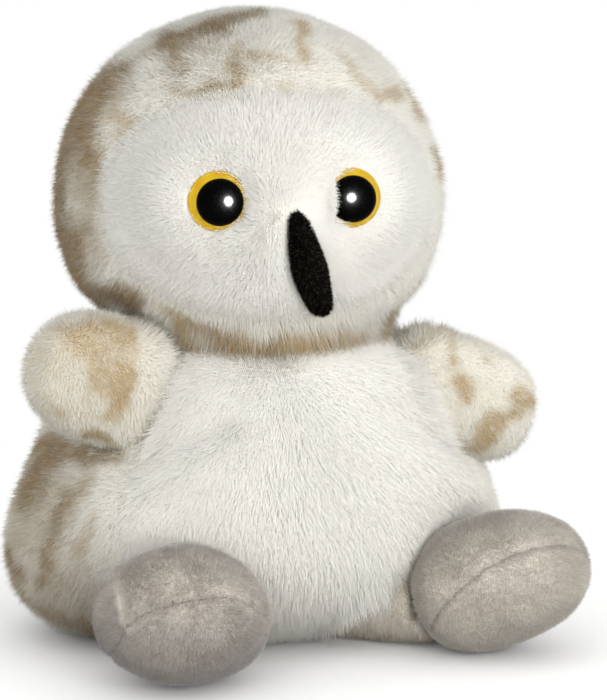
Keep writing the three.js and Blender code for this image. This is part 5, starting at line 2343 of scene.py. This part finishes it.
@dataclass
class Studio:
    """A plain white table and backdrop, two large soft lamps, and one for each eye's highlight.

    A soft lamp's row is its word, its places right of and above the camera's line, and its power.
    """

    ambient: float = 1.09
    soft_lamps: tuple = (("right", 0.4, 0.06, 6.5), ("left", -0.45, 0.02, 1.9))
    soft_distance: float = 0.9
    soft_size: float = 0.6
    glint_distance: float = 0.25
    glint_size: float = 0.156
    glint_power: float = 80.0
    half_table: float = 4.0
    table_drop: float = 0.02 * MM
    fade_start: float = 0.08
    fade_end: float = 0.2
    carried_light: Colour = (0.7, 0.7, 0.69, 1.0)
    light_grain: Colour = (0.96, 0.96, 0.96, 1.0)
    dark_grain: Colour = (0.94, 0.94, 0.94, 1.0)

    def lamp(self, name: str, place: Vector, size: float, power: float,
             aim: Vector = Vector((0, 0, VIEW.aim_height))) -> bpy.types.Object:
        """Adds a round lamp.

        Args:
            name: The lamp's name.
            place: Where it stands.
            size: Its width.
            power: Its power in watts.
            aim: What it points at.

        Returns:
            The lamp.
        """
        data = bpy.data.lights.new(name, "AREA")
        data.shape = "DISK"
        data.size = size
        data.energy = power
        light = bpy.data.objects.new(name, data)
        turned = (aim - place).to_track_quat("-Z", "Y").to_matrix().to_4x4()
        light.matrix_world = Matrix.Translation(place) @ turned
        bpy.context.scene.collection.objects.link(light)
        return light

    def backdrop_seen(self, tree: Tree) -> Socket:
        """Whether a ray shows the backdrop itself, rather than carrying its light."""
        path = tree.add("LightPath")
        seen = tree.math("MAXIMUM", path.outputs["Is Camera Ray"], path.outputs["Is Glossy Ray"])
        return tree.math("MAXIMUM", seen, path.outputs["Is Transmission Ray"])

    def world(self) -> None:
        """Makes the backdrop white to the eye and gentler as a light."""
        world = bpy.data.worlds.new("backdrop")
        bpy.context.scene.world = world
        world.use_nodes = True
        tree = Tree(world.node_tree)
        extra = tree.math("MULTIPLY", self.backdrop_seen(tree), 1 - self.ambient)
        strength = tree.math("ADD", self.ambient, extra)
        shader = tree.add("Background", {"Color": PURE_WHITE, "Strength": strength})
        tree.add("OutputWorld", {"Surface": shader.outputs[0]})

    def table(self) -> None:
        """Makes the white table top, which fades into the backdrop away from the owl."""
        corners = np.array([(-1, -1, 0), (1, -1, 0), (1, 1, 0), (-1, 1, 0)]) * self.half_table
        mesh = mesh_from("table_top", corners - [0, 0, self.table_drop], [[0, 1, 2, 3]], {})
        material, tree = fresh_material("white_table")
        place = tree.add("TexCoord").outputs["Object"]
        away = tree.add("VectorMath", {0: place}, operation="LENGTH").outputs["Value"]
        grain = tree.noise(place, scale=60.0)
        white = tree.mix(grain, self.light_grain, self.dark_grain)
        seen = self.backdrop_seen(tree)
        lit = tree.add("BsdfDiffuse", {"Color": tree.mix(seen, self.carried_light, white)})
        glow = tree.add("Emission", {"Color": PURE_WHITE, "Strength": 1.0})
        fade = tree.math("MULTIPLY", tree.ramp(away, self.fade_start, self.fade_end), seen)
        shader = tree.add("MixShader", {0: fade, 1: lit.outputs[0], 2: glow.outputs[0]})
        tree.add("OutputMaterial", {"Surface": shader.outputs[0]})
        mesh.materials.append(material)
        table = bpy.data.objects.new("table_top", mesh)
        bpy.context.scene.collection.objects.link(table)

    def build(self) -> None:
        """Sets up the light, the table and the backdrop."""
        bpy.context.scene.view_settings.view_transform = "Standard"
        self.world()
        self.table()
        for word, across, up, power in self.soft_lamps:
            place = VIEW.back * self.soft_distance + VIEW.right * across + Vector((0, 0, up))
            self.lamp(f"soft_lamp_{word}", place, self.soft_size, power).visible_glossy = False
        for eye in EYES:
            across, up = (math.tan(math.radians(angle)) for angle in eye.glint)
            toward = (VIEW.back + VIEW.right * across + VIEW.up * up).normalized()
            middle = (HEAD_FORM.place @ eye.place).translation
            glint = self.lamp(f"glint_{eye.side.word}", middle + toward * self.glint_distance,
                              self.glint_size, self.glint_power, middle)
            glint.visible_diffuse = glint.visible_camera = False
            glint.light_linking.receiver_collection = bpy.data.collections.new(f"pupil_{eye.side.word}")


def main() -> None:
    """Builds the owl and its studio."""
    logging.basicConfig(level=logging.INFO, format="%(message)s")
    VIEW.place()
    Studio().build()
    Torso().build()
    for side in Side:
        Leg(side).build()
        Wing(side).build()
        Foot(side).build()
    Neck().build()
    Head().build()


if __name__ == "__main__":
    main()
